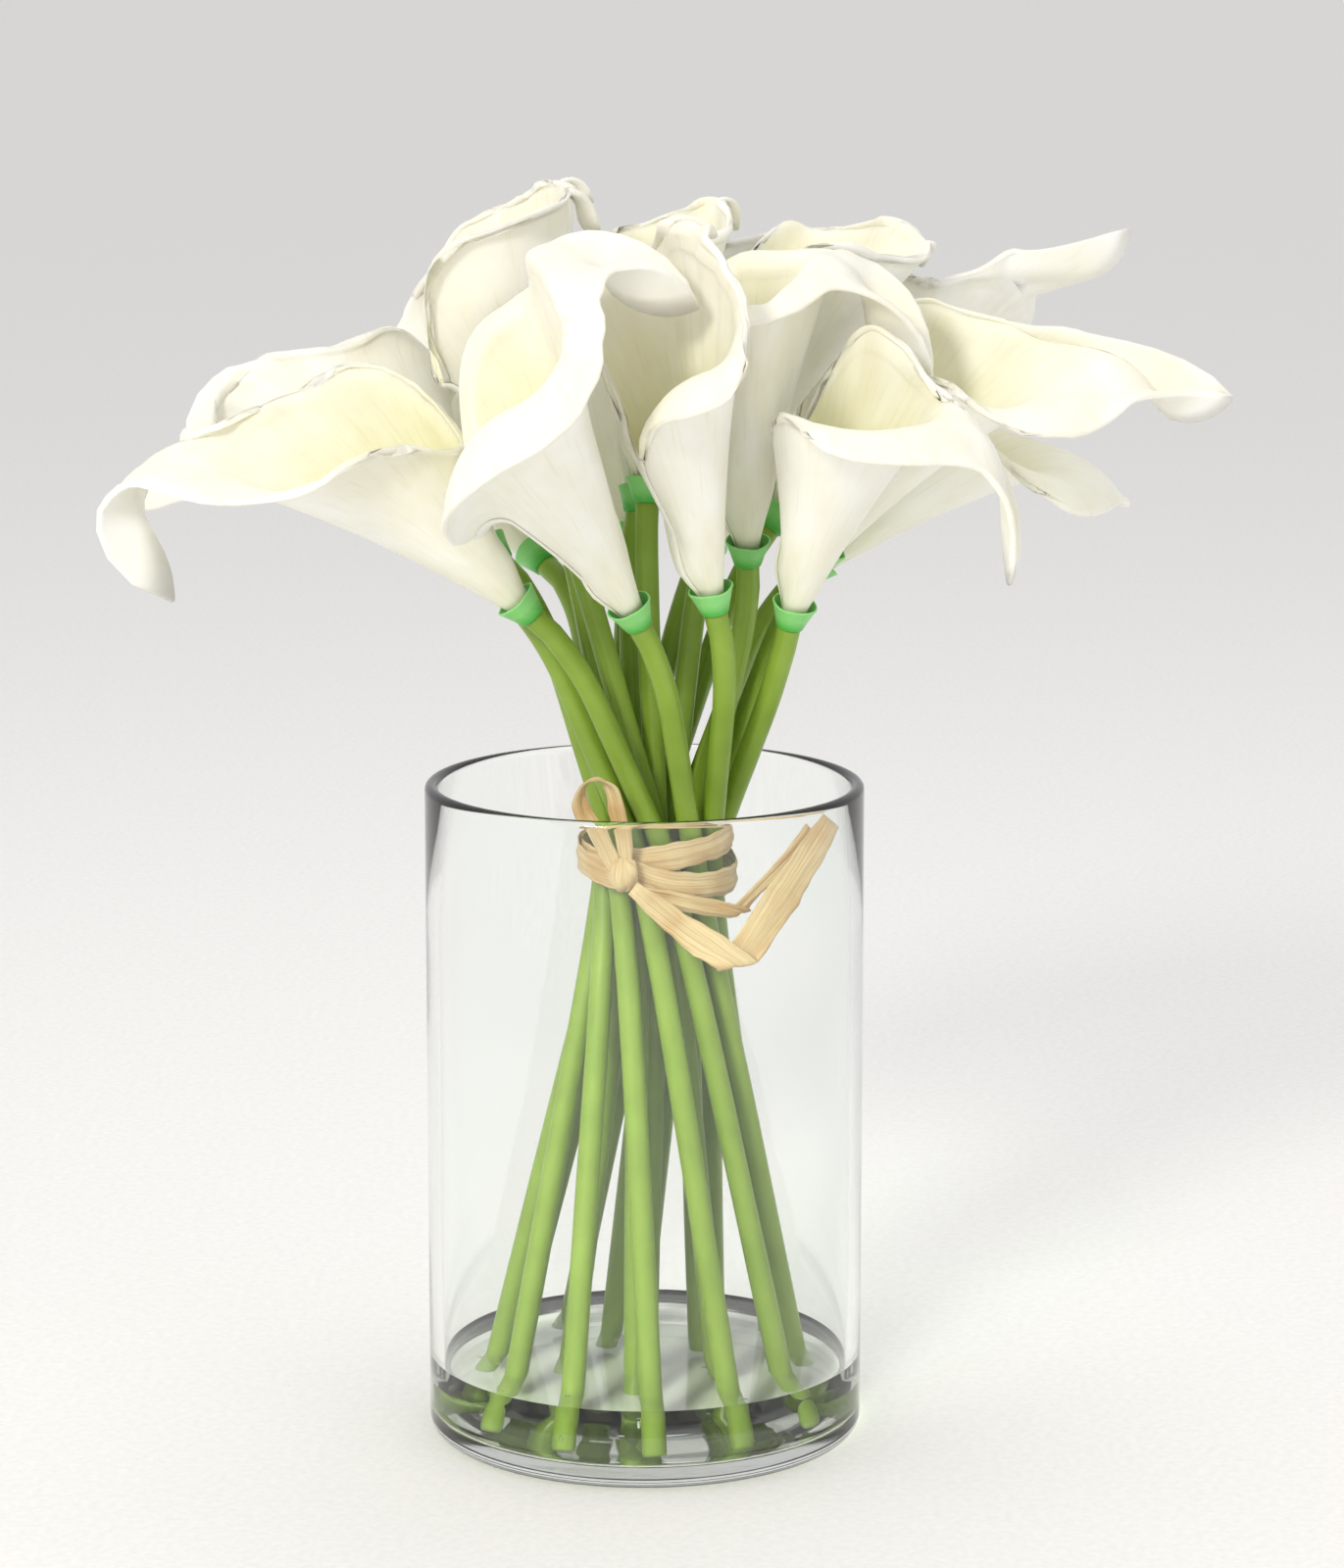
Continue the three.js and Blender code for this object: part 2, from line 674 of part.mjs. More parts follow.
// Two turns round the bunch, the second over the first; they part at the right.
function bandGeometry() {
  const stations = [];
  for (let i = 0; i <= 2 * bandSteps; i += 1) {
    const turns = i / bandSteps;
    const angle = THREE.MathUtils.degToRad(bandKnotAngle + 360 * turns);
    const radius = bandRadius + turns * (raffiaThickness + clearance);
    const rise = bandRise * (0.5 + 0.5 * Math.cos(angle + 0.2)) * (1 - 2 * ease(0.9, 1.1, turns));
    const at = new THREE.Vector3(radius * Math.cos(angle), radius * Math.sin(angle), rise).add(waist);
    at.z += bandMiddle - waist.z;
    stations.push({ at, half: new THREE.Vector3(0, 0, bandWidth / 2) });
  }
  return ribbonGeometry(stations);
}

function fromTie([round, out, up]) {
  const angle = THREE.MathUtils.degToRad(bandKnotAngle + round);
  const radius = bandRadius + out;
  const place = new THREE.Vector3(radius * Math.cos(angle), radius * Math.sin(angle), 0);
  return place.add(waist).setZ(bandMiddle + up);
}

function knotGeometry() {
  const lump = new THREE.SphereGeometry(1, 8, 6).scale(...knot.size).translate(...fromTie(knot.centre));
  const loop = loopPath.map(({ at, half }) => ({
    at: fromTie(at),
    half: new THREE.Vector3(...half),
  }));
  return fromSolid(toSolid(lump).add(toSolid(ribbonGeometry(loop))));
}

// A loose end, folded back on itself at a crease.
function tailGeometry({ start, middle, fold, end, halfWidth }) {
  const [from, bend, crease, to] = [start, middle, fold, end].map(fromTie);
  const front = new THREE.Vector3(0, -1, 0);
  const inward = crease.clone().sub(bend).normalize();
  const outward = to.clone().sub(crease).normalize();
  const across = (direction, width) => direction.clone().cross(front).normalize().multiplyScalar(width);
  const creaseLine = inward.clone().add(outward).normalize();
  const widthAtCrease = halfWidth[2] / Math.sqrt(1 - creaseLine.dot(inward) ** 2);
  const upward = across(inward, 1).dot(creaseLine) > 0 ? 1 : -1;
  const halfCrease = creaseLine.multiplyScalar(widthAtCrease * upward);
  const behind = front.clone().multiplyScalar(-(raffiaThickness + clearance));
  const beyond = inward.clone().sub(outward).normalize();
  return ribbonGeometry([
    { at: from, half: across(bend.clone().sub(from), halfWidth[0]) },
    { at: bend, half: across(crease.clone().sub(from), halfWidth[1]) },
    { at: crease, half: halfCrease },
    { at: crease.clone().addScaledVector(beyond, 0.5).addScaledVector(behind, 0.5), half: halfCrease },
    { at: crease.clone().add(behind), half: halfCrease },
    { at: crease.clone().lerp(to, 0.55).add(behind), half: across(outward, -halfWidth[2]) },
    { at: to.clone().add(behind), half: across(outward, -halfWidth[3]) },
  ]);
}

function colour(hex, roughness, opacity = 1) {
  return new THREE.MeshStandardMaterial({ color: hex, roughness, opacity, transparent: opacity < 1 });
}

const colours = {
  glass: colour(0xdfe6e4, 0.05, 0.35),
  water: colour(0xdde8d8, 0.03, 0.4),
  foam: colour(0xf1efe2, 0.6),
  spadix: colour(0xf6f4ea, 0.35),
  stem: colour(0x6f9a3c, 0.4),
  raffia: colour(0xcdb47f, 0.8),
};

const arrangement = new THREE.Group();
function addPiece(name, geometry, material) {
  const mesh = new THREE.Mesh(geometry, material);
  mesh.name = name;
  arrangement.add(mesh);
}

addPiece("vase", vaseGeometry(), colours.glass);
addPiece("water", waterGeometry(), colours.water);
addPiece("raffia_wrap", bandGeometry(), colours.raffia);
addPiece("raffia_knot", knotGeometry(), colours.raffia);
addPiece("raffia_tail_long", tailGeometry(longTail), colours.raffia);
addPiece("raffia_tail_short", tailGeometry(shortTail), colours.raffia);
flowers.forEach((flower, index) => {
  const number = String(index + 1).padStart(2, "0");
  addPiece(`stem_${number}`, stemGeometry(flower), colours.stem);
  addPiece(`spadix_${number}`, spadixGeometry(flower), colours.spadix);
  addPiece(`spathe_${number}`, spatheGeometry(flower), colours.foam);
});

export default arrangement;
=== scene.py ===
import math

import bpy
import numpy as np
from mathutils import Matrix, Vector


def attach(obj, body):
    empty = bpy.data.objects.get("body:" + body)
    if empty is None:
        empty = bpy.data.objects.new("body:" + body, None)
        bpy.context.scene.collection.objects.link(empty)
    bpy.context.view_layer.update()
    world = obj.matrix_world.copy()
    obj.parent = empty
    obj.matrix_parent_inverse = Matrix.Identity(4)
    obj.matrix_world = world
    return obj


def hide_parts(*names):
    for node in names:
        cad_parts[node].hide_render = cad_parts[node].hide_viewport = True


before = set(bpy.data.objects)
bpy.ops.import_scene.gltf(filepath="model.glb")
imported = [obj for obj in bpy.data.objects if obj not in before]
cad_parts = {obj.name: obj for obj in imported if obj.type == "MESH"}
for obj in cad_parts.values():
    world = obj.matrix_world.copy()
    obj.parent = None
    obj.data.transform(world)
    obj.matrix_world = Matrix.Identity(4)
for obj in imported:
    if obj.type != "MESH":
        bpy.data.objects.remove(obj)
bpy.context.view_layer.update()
mm = 0.001
turn = 2 * math.pi
chance = np.random.default_rng(41)


def linear(code):
    levels = [int(code[i : i + 2], 16) / 255 for i in (1, 3, 5)]
    return [c / 12.92 if c < 0.04045 else ((c + 0.055) / 1.055) ** 2.4 for c in levels] + [1]


def ease(low, high, value):
    share = np.clip((value - low) / (high - low), 0, 1)
    return share * share * (3 - 2 * share)


def between(first, last, share):
    return first + (last - first) * share


def unit(vectors):
    return vectors / np.maximum(np.linalg.norm(vectors, axis=-1, keepdims=True), 1e-9)


# Sets a node's inputs: numbers and colours as values, nodes and sockets as links.
def feed(tree, node, inputs):
    for name, value in inputs.items():
        if isinstance(value, bpy.types.Node):
            value = value.outputs[0]
        if isinstance(value, bpy.types.NodeSocket):
            tree.links.new(value, node.inputs[name])
        else:
            node.inputs[name].default_value = value


def addNode(tree, kind, inputs=None, **settings):
    node = tree.nodes.new("ShaderNode" + kind)
    for name, value in settings.items():
        setattr(node, name, value)
    feed(tree, node, inputs or {})
    return node


def startMaterial(name, **values):
    material = bpy.data.materials.new(name)
    material.use_nodes = True
    shader = material.node_tree.nodes["Principled BSDF"]
    for key, value in values.items():
        shader.inputs[key.replace("_", " ")].default_value = value
    return material, material.node_tree, shader


def setRamp(node, stops):
    ramp = node.color_ramp
    while len(ramp.elements) < len(stops):
        ramp.elements.new(0.5)
    for element, (place, code) in zip(ramp.elements, stops):
        element.position = place
        element.color = linear(code)
    return node


# Latex-coated foam, heat-moulded: soft and chalky white with a faint skin of fine wrinkles that
# run lengthwise, yellow-green towards its base, with painted shade darkening the inside of the throat
# to olive. Light passes a few millimetres into it.
foamLook = {
    # The inner side: the leaf's own yellow-green base, darkened to olive deep in the throat as painted
    # shade.
    "throatTintAndPaintedShade": [(0, "#cdd27c"), (0.25, "#e6e8ae"), (0.6, "#f3f2d4"), (1, "#faf8ee")],
    "outside": [(0, "#eceecb"), (0.15, "#f6f5e4"), (0.5, "#faf9f1"), (1, "#fbfaf5")],
    "tintAndShadeReach": 95,  # how far up the leaf the base tint and the painted throat shade fade out
    "roughness": 0.62,
    "wrinkleAcross": 2.4,
    "wrinkleAlong": 26,
    "wrinkleHeight": 0.22,
    "poreSize": 0.7,  # real pores are about 0.2; drawn coarser so that they show
    "poreHeight": 0.12,
    "blotch": 22,
    "lightReach": 3.2,
}


def foamMaterial():
    look = foamLook
    material, tree, shader = startMaterial(
        "latexCoatedFoam",
        Roughness=look["roughness"],
        IOR=1.46,
        Subsurface_Weight=0.22,
        Subsurface_Radius=(1.0, 0.92, 0.7),
        Subsurface_Scale=look["lightReach"] * mm,
        Sheen_Weight=0.12,
        Sheen_Roughness=0.5,
    )
    leaf = addNode(tree, "UVMap", uv_map="leaf").outputs[0]
    along = addNode(tree, "SeparateXYZ", {0: leaf}).outputs[1]
    place = addNode(tree, "MapRange", {0: along, "From Max": float(look["tintAndShadeReach"])}).outputs[0]
    inner = addNode(tree, "Attribute", attribute_name="inner").outputs["Fac"]
    # Painted shade: the inner skin is olive deep in the throat and pales up the leaf.
    innerTintAndShade = setRamp(addNode(tree, "ValToRGB", {0: place}), look["throatTintAndPaintedShade"])
    skin = setRamp(addNode(tree, "ValToRGB", {0: place}), look["outside"])
    sides = addNode(tree, "Mix", {0: inner, 6: skin, 7: innerTintAndShade}, data_type="RGBA")
    stretched = addNode(
        tree,
        "VectorMath",
        {0: leaf, 1: (1 / look["wrinkleAcross"], 1 / look["wrinkleAlong"], 1)},
        operation="MULTIPLY",
    )
    wrinkles = addNode(
        tree,
        "TexNoise",
        {"Vector": stretched, "Scale": 1.0, "Detail": 3.0, "Roughness": 0.6},
    )
    pores = addNode(
        tree, "TexNoise", {"Vector": leaf, "Scale": 1 / look["poreSize"], "Detail": 2.0}
    )
    blotches = addNode(
        tree, "TexNoise", {"Vector": leaf, "Scale": 1 / look["blotch"], "Detail": 2.0}
    )
    shade = setRamp(addNode(tree, "ValToRGB", {0: blotches}), [(0.3, "#f6f4ec"), (0.7, "#ffffff")])
    veins = setRamp(
        addNode(tree, "ValToRGB", {0: wrinkles}),
        [(0.3, "#f3f1e6"), (0.45, "#ffffff")],
    )
    tone = addNode(
        tree,
        "Mix",
        {0: 1.0, 6: sides.outputs[2], 7: shade},
        data_type="RGBA",
        blend_type="MULTIPLY",
    )
    colour = addNode(
        tree,
        "Mix",
        {0: 0.45, 6: tone.outputs[2], 7: veins},
        data_type="RGBA",
        blend_type="MULTIPLY",
    )
    fine = addNode(
        tree,
        "Bump",
        {"Height": pores, "Strength": 0.18, "Distance": look["poreHeight"] * mm},
    )
    bump = addNode(
        tree,
        "Bump",
        {
            "Height": wrinkles,
            "Strength": 0.3,
            "Distance": look["wrinkleHeight"] * mm,
            "Normal": fine,
        },
    )
    feed(tree, shader, {"Base Color": colour.outputs[2], "Normal": bump})
    return material


# Polyethylene pulled over wire: an even olive green with a long soft highlight, a little blotched
# where the colour took unevenly, and faint drawing lines down its length.
stemLook = {
    "colours": [(0.2, "#7b9a2c"), (0.5, "#86a534"), (0.8, "#90af40")],
    "blotch": 14,
    "drawLine": 0.9,
    "drawRun": 60,
    "lineHeight": 0.1,
    "roughness": (0.25, 0.38),
    "lightReach": 1.5,
}


def stemMaterial():
    look = stemLook
    material, tree, shader = startMaterial(
        "drawnPolyethylene",
        IOR=1.51,
        Subsurface_Weight=0.08,
        Subsurface_Scale=look["lightReach"] * mm,
    )
    skin = addNode(tree, "UVMap", uv_map="skin").outputs[0]
    blotches = addNode(
        tree, "TexNoise", {"Vector": skin, "Scale": 1 / look["blotch"], "Detail": 3.0}
    )
    colour = setRamp(addNode(tree, "ValToRGB", {0: blotches}), look["colours"])
    drawn = addNode(
        tree,
        "VectorMath",
        {0: skin, 1: (1 / look["drawLine"], 1 / look["drawRun"], 1)},
        operation="MULTIPLY",
    )
    lines = addNode(tree, "TexNoise", {"Vector": drawn, "Scale": 1.0, "Detail": 2.0})
    smooth, dull = look["roughness"]
    rough = addNode(tree, "MapRange", {0: lines, "To Min": smooth, "To Max": dull})
    bump = addNode(
        tree,
        "Bump",
        {"Height": lines, "Strength": 0.25, "Distance": look["lineHeight"] * mm},
    )
    feed(tree, shader, {"Base Color": colour, "Roughness": rough, "Normal": bump})
    return material


# Soft PVC, injection moulded: a bright mint cup with a satin skin, painted paler from its foot up to
# its thin lip as light shining through the plastic.
collarLook = {
    "colours": [(0, "#3d9c34"), (0.6, "#56b94a"), (1, "#8bd67d")],
    "paintedGlowToLip": (1.0, 9.5),  # painted light: from here to here up its skin it goes from the first colour to the last, as if lit through the thin lip
    "mottle": 2,
    "mottleShift": 2.4,
    "grain": 0.5,
    "grainHeight": 0.1,
    "roughness": 0.4,
    "lightReach": 1.2,
}


def collarMaterial():
    look = collarLook
    material, tree, shader = startMaterial(
        "mouldedSoftPvc",
        Roughness=look["roughness"],
        IOR=1.5,
        Subsurface_Weight=0.15,
        Subsurface_Scale=look["lightReach"] * mm,
    )
    skin = addNode(tree, "UVMap", uv_map="skin").outputs[0]
    along = addNode(tree, "SeparateXYZ", {0: skin}).outputs[1]
    mottle = addNode(
        tree, "TexNoise", {"Vector": skin, "Scale": 1 / look["mottle"], "Detail": 2.0}
    )
    uneven = addNode(
        tree,
        "Math",
        {0: mottle, 1: look["mottleShift"], 2: along},
        operation="MULTIPLY_ADD",
    )
    # Painted light: the cup goes from dark at its foot to pale at its lip as if light shone through the
    # thin plastic; the mottle makes the change uneven.
    low, high = look["paintedGlowToLip"]
    height = addNode(tree, "MapRange", {0: uneven, "From Min": low, "From Max": high})
    colour = setRamp(addNode(tree, "ValToRGB", {0: height}), look["colours"])
    grain = addNode(tree, "TexNoise", {"Vector": skin, "Scale": 1 / look["grain"], "Detail": 2.0})
    bump = addNode(
        tree,
        "Bump",
        {"Height": grain, "Strength": 0.2, "Distance": look["grainHeight"] * mm},
    )
    feed(tree, shader, {"Base Color": colour, "Normal": bump})
    return material


# Styrene beads under clear lacquer: hard and glossy, warm white, with painted shade darkening the
# grooves between beads.
spadixLook = {"colours": [(0, "#e3dcc0"), (1, "#fbf9f0")], "roughness": 0.22}


def spadixMaterial():
    look = spadixLook
    material, tree, shader = startMaterial(
        "lacqueredStyrene",
        Roughness=look["roughness"],
        IOR=1.59,
        Coat_Weight=0.5,
        Coat_Roughness=0.08,
    )
    bead = addNode(tree, "Attribute", attribute_name="bead").outputs["Fac"]
    # Painted shade: the grooves between beads are darker and the bead crowns are lightest.
    colour = setRamp(addNode(tree, "ValToRGB", {0: bead}), look["colours"])
    feed(tree, shader, {"Base Color": colour})
    return material


# Raffia, split and dried palm leaf: pale straw with fibres about half a millimetre apart, each a
# little darker or lighter, amber where the leaf's rib was, dull with a slight waxy sheen.
raffiaLook = {
    "fibres": [(0.25, "#b99864"), (0.5, "#e0c793"), (0.75, "#f2e2bb")],
    "patches": [(0.3, "#d8b37c"), (0.55, "#ffffff")],
    "fibreStep": 0.55,
    "fibreRun": 40,
    "fibreHeight": 0.35,
    "patchSize": 14,
    "roughness": 0.68,
}


def raffiaMaterial():
    look = raffiaLook
    material, tree, shader = startMaterial(
        "driedRaffia", Roughness=look["roughness"], IOR=1.5, Sheen_Weight=0.1
    )
    strip = addNode(tree, "UVMap", uv_map="strip").outputs[0]
    drawn = addNode(
        tree,
        "VectorMath",
        {0: strip, 1: (1 / look["fibreStep"], 1 / look["fibreRun"], 1)},
        operation="MULTIPLY",
    )
    fibres = addNode(
        tree,
        "TexNoise",
        {"Vector": drawn, "Scale": 1.0, "Detail": 4.0, "Roughness": 0.65},
    )
    patches = addNode(
        tree, "TexNoise", {"Vector": strip, "Scale": 1 / look["patchSize"], "Detail": 2.0}
    )
    straw = setRamp(addNode(tree, "ValToRGB", {0: fibres}), look["fibres"])
    amber = setRamp(addNode(tree, "ValToRGB", {0: patches}), look["patches"])
    colour = addNode(
        tree,
        "Mix",
        {0: 0.55, 6: straw, 7: amber},
        data_type="RGBA",
        blend_type="MULTIPLY",
    )
    bump = addNode(
        tree,
        "Bump",
        {"Height": fibres, "Strength": 0.7, "Distance": look["fibreHeight"] * mm},
    )
    feed(tree, shader, {"Base Color": colour.outputs[2], "Normal": bump})
    return material


# Soda-lime glass, blown in a mould and fire-polished: clear, faintly green, with long shallow
# waves in its wall that bend what stands behind. Lamps shine through it.
glassLook = {"name": "sodaLimeGlass", "tint": "#fafdfb", "wave": 45, "height": 0.12, "index": 1.52}
# Tap water, tinted a breath of green: painted light standing for the green of the stems seen through
# it.
waterLook = {"name": "tapWater", "tint": "#f8fbf3", "wave": 18, "height": 0.05, "index": 1.333}
# Air inside water, so its index is one over water's.
airLook = {"name": "airInWater", "tint": "#fbfdfc", "wave": 4, "height": 0.01, "index": 0.75}


def clearMaterial(look):
    material, tree, shader = startMaterial(
        look["name"], Roughness=0.0, IOR=look["index"], Transmission_Weight=1.0
    )
    at = addNode(tree, "TexCoord").outputs["Object"]
    waves = addNode(
        tree, "TexNoise", {"Vector": at, "Scale": 1 / (look["wave"] * mm), "Detail": 1.0}
    )
    tints = setRamp(addNode(tree, "ValToRGB", {0: waves}), [(0.3, look["tint"]), (0.8, "#ffffff")])
    bump = addNode(
        tree,
        "Bump",
        {"Height": waves, "Strength": 1.0, "Distance": look["height"] * mm},
    )
    lamps = addNode(tree, "BsdfTransparent", {"Color": linear(look["tint"])})
    shadow = addNode(tree, "LightPath").outputs["Is Shadow Ray"]
    both = addNode(tree, "MixShader", {0: shadow, 1: shader, 2: lamps})
    feed(tree, shader, {"Base Color": tints, "Normal": bump})
    feed(tree, tree.nodes["Material Output"], {"Surface": both})
    return material


foam = foamMaterial()
stemSkin = stemMaterial()
collarSkin = collarMaterial()
beads = spadixMaterial()
raffia = raffiaMaterial()
glass = clearMaterial(glassLook)
water = clearMaterial(waterLook)
air = clearMaterial(airLook)
print("materials made")


# Makes a piece from points in mm, with what it rides on and replaces.
def addPiece(name, points, faces, material, nodes, uv=None, uvName="skin", values=None):
    mesh = bpy.data.meshes.new(name)
    mesh.from_pydata((np.asarray(points) * mm).tolist(), [], faces)
    mesh.polygons.foreach_set("use_smooth", [True] * len(mesh.polygons))
    if uv is not None:
        layer = mesh.uv_layers.new(name=uvName)
        corner = np.zeros(len(mesh.loops), np.int32)
        mesh.loops.foreach_get("vertex_index", corner)
        layer.data.foreach_set("uv", np.asarray(uv, np.float32)[corner].ravel())
    for key, numbers in (values or {}).items():
        mesh.attributes.new(key, "FLOAT", "POINT").data.foreach_set(
            "value", np.asarray(numbers, np.float32)
        )
    mesh.materials.append(material)
    mesh.update()
    piece = bpy.data.objects.new(name, mesh)
    bpy.context.scene.collection.objects.link(piece)
    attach(piece, "root")
    if nodes:
        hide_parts(*nodes)
    return piece


# Joins two skins of columns by rows into one closed sheet.
def sheetFaces(columns, rows):
    far = columns * rows
    faces = []

    def at(column, row):
        return column * rows + row

    for c in range(columns - 1):
        for r in range(rows - 1):
            faces.append((at(c, r), at(c + 1, r), at(c + 1, r + 1), at(c, r + 1)))
            faces.append(
                (far + at(c, r), far + at(c, r + 1), far + at(c + 1, r + 1), far + at(c + 1, r))
            )
        faces.append((at(c, 0), far + at(c, 0), far + at(c + 1, 0), at(c + 1, 0)))
        end = rows - 1
        faces.append((at(c, end), at(c + 1, end), far + at(c + 1, end), far + at(c, end)))
    for r in range(rows - 1):
        faces.append((at(0, r), at(0, r + 1), far + at(0, r + 1), far + at(0, r)))
        c = columns - 1
        faces.append((at(c, r), far + at(c, r), far + at(c, r + 1), at(c, r + 1)))
    return faces


# A closed tube of rings of points, each ring with the same count.
def tubeFaces(rings, count):
    faces = []
    for r in range(rings - 1):
        for i in range(count):
            j = (i + 1) % count
            faces.append((r * count + i, r * count + j, (r + 1) * count + j, (r + 1) * count + i))
    faces.append(tuple(range(count))[::-1])
    faces.append(tuple((rings - 1) * count + i for i in range(count)))
    return faces


# Turns a profile of (radius, height) pairs round an axis; a radius of 0 closes it in a point.
def latheParts(profile, count, origin=(0, 0, 0), axis=(0, 0, 1), start=(1, 0, 0)):
    origin, axis, start = (np.array(v, float) for v in (origin, axis, start))
    side = np.cross(axis, start)
    angles = np.arange(count) * turn / count
    points, uv, faces, rows = [], [], [], []
    run = 0
    last = None
    for radius, height in profile:
        run += 0 if last is None else math.hypot(radius - last[0], height - last[1])
        last = (radius, height)
        if radius < 1e-6:
            rows.append([len(points)] * count)
            points.append(origin + axis * height)
            uv.append((0, run))
            continue
        rows.append(list(range(len(points), len(points) + count)))
        for a in angles:
            points.append(origin + axis * height + radius * (math.cos(a) * start + math.sin(a) * side))
            uv.append((a * radius, run))
    for low, high in zip(rows, rows[1:]):
        for i in range(count):
            j = (i + 1) % count
            face = [low[i], low[j], high[j], high[i]]
            faces.append(tuple(dict.fromkeys(face)))
    return points, faces, uv


def onSphere(tilt, a):
    return np.array([math.sin(tilt) * math.cos(a), math.sin(tilt) * math.sin(a), math.cos(tilt)])


def arcPoints(centreR, centreZ, radius, start, end, steps):
    angles = [math.radians(start + (end - start) * i / steps) for i in range(steps + 1)]
    return [(centreR + radius * math.cos(a), centreZ + radius * math.sin(a)) for a in angles]


# A flower's leaf. Lengths are along the foam; angles are in degrees unless a note says radians.
leafShape = {
    "throatRadius": 2.7,
    "throatAngle": 13,
    "bellyTurn": 12,
    "foam": {"throat": 0.8, "full": 1.8, "fullAt": 20, "rimRound": 0.9, "lapTaper": 12},
    "lapEdge": 0.45,  # share of the foam's thickness left at the lapping edges
    "rimSwell": 0.12,  # the lip's rolled edge is this share thicker
    "rimSwellDepth": 6,
    "lapGap": 0.05,  # each lapping edge from the surface they close on
    "edgeFrom": 2.2,  # radians round from the back where the sheet stretches past the front line
    "flapFrom": 2.1,  # radians round from the back where the edges begin to part
    "flapReach": {"throat": 0.32, "rim": 0.1},
    "crowdedLip": 0.35,  # share of the lip's length, and of its roll, left where there is no room
    "crowdedRoll": 0.75,
    "tipSharpness": 1.2,
    "spadixRoom": 5.5,
    "spadixFoot": 30,
    "aboveSpadix": 12,
    "ruffle": 0.55,  # height of the small uneven waves at the lip
    "girth": 34,  # the foam's width for each radian, for its pattern
}
# How the flowers share the room. Each shows its neighbours a funnel, "keep".
crowd = {
    "keep": {"start": -10, "end": 88, "radius": 4, "angle": 17, "full": 68},
    "between": 7,
    "ways": 24,
    "shares": [1 - 0.1 * i for i in range(11)],
    "slack": 2,
    "leastOpening": 0.2,
    "tryRoll": 0.3,
    "bodyPlaces": (0.4, 0.7, 1),
    "lipPlaces": (1.3, 1.6, 2),
    "rounds": 3,
    "give": 3,
    "least": 0.05,
    "pushTurn": 0.35,  # radians
    "pushSlide": 0.35,
    "heldFoot": 25,
}
spadixShape = {
    "neckRadius": 1.2,
    "neck": 9,
    "radius": 2.4,
    "length": 46,
    "outline": ([0, 0.04, 0.3, 0.8, 0.95, 0.99, 1], [0.55, 0.84, 0.96, 0.88, 0.62, 0.36, 0.05]),
    "around": 22,
    "beadStep": 1.15,
    "beadDepth": 0.13,
    "sides": 48,
    "rings": 150,
}
clearance = 0.3
usual = {
    "body": [82, 68, 68, 46],
    "lip": [26, 28, 28, 16],
    "roll": [60, 105, 105, 60],
    "tip": {"length": 38, "width": 0.2, "curl": 90, "lift": 80, "free": False},
}


# One flower: its collar's seat, the way it grows, the side its tip is on, then what differs from
# the usual leaf. Lists of four are for the leaf's back, left, right and front.
def flower(seat, grow, tipSide, body=None, lip=None, roll=None, **tip):
    axis = unit(np.array(grow, float))
    back = np.array(tipSide, float)
    back = unit(back - axis * back.dot(axis))
    return {
        "seat": np.array(seat, float),
        "axis": axis,
        "back": back,
        "side": np.cross(axis, back),
        "body": body or usual["body"],
        "lip": lip or usual["lip"],
        "roll": roll or usual["roll"],
        "tip": {**usual["tip"], **tip},
    }


flowers = [
    flower((-44, -9, 258), (-0.72, 0.1, 0.66), (-0.8, 0.2, 0.1), [84, 66, 74, 46], length=18, curl=30),
    flower((-33, -26, 252), (-0.68, -0.18, 0.72), (-0.9, 0, -0.15), [94, 66, 82, 46],
           [28, 26, 30, 18], [20, 50, 120, 60], length=52, curl=130, lift=40),
    flower((-2, -43, 252), (-0.39, -0.34, 0.84), (0.9, -0.05, 0.45), [110, 86, 94, 46],
           [28, 24, 26, 20], [110, 50, 130, 110], length=46, curl=90, lift=100, free=True),
    flower((20, -42, 256), (-0.19, -0.25, 0.95), (0.9, 0.3, 0.3), [104, 90, 80, 46],
           [28, 24, 26, 16], [60, 50, 130, 60], length=20, curl=90, lift=60),
    flower((42, -30, 250), (0.2, -0.32, 0.92), (0.9, -0.45, -0.1), [78, 80, 72, 48],
           [28, 26, 30, 20], [90, 50, 90, 60], length=46, curl=60, lift=10),
    flower((50, -8, 264), (0.48, -0.28, 0.86), (1, 0, 0.15), [84, 74, 70, 50],
           None, [50, 80, 110, 60], length=52, curl=60, lift=130),
    flower((48, 12, 258), (0.7, 0.06, 0.68), (0.7, 0.2, 0.1), [72, 60, 60, 44], length=14, curl=30),
    flower((38, 29, 270), (0.54, 0.22, 0.8), (0.9, 0, 0.4), [94, 78, 78, 46],
           length=44, curl=20, lift=110),
    flower((17, 43, 258), (0.3, 0.66, 0.62), (0.3, 0.6, -0.4)),
    flower((-7, 46, 260), (-0.1, 0.73, 0.62), (0, 0.6, 0.8)),
    flower((-30, 36, 258), (-0.55, 0.62, 0.56), (-0.3, 0.3, 0.6)),
    flower((-43, 14, 262), (-0.6, 0.32, 0.66), (-0.6, 0.2, 0.5), [84, 68, 68, 46]),
    flower((-22, -8, 274), (-0.29, -0.03, 0.95), (0.8, 0, 0.5), [94, 84, 92, 48],
           None, [90, 60, 130, 80], length=26),
    flower((30, -15, 266), (0, -0.31, 0.95), (0.9, -0.15, 0.3), [88, 78, 82, 46],
           [28, 24, 26, 22], [120, 50, 120, 80], length=48, curl=80, lift=90, free=True),
    flower((24, 12, 282), (0.36, 0.06, 0.92), (0.8, 0.2, 0.4), [84, 78, 78, 46], length=20),
    flower((-2, 23, 276), (0.12, 0.32, 0.94), (0.6, 0.5, 0.6), [86, 74, 74, 46], length=16),
    flower((-24, 14, 278), (-0.2, 0.13, 0.96), (0.5, 0.3, 0.8), [86, 76, 76, 46], length=16),
    flower((1, 2, 282), (0.02, 0.1, 1), (0.7, 0.4, 0.4), [80, 72, 72, 44], length=18),
]


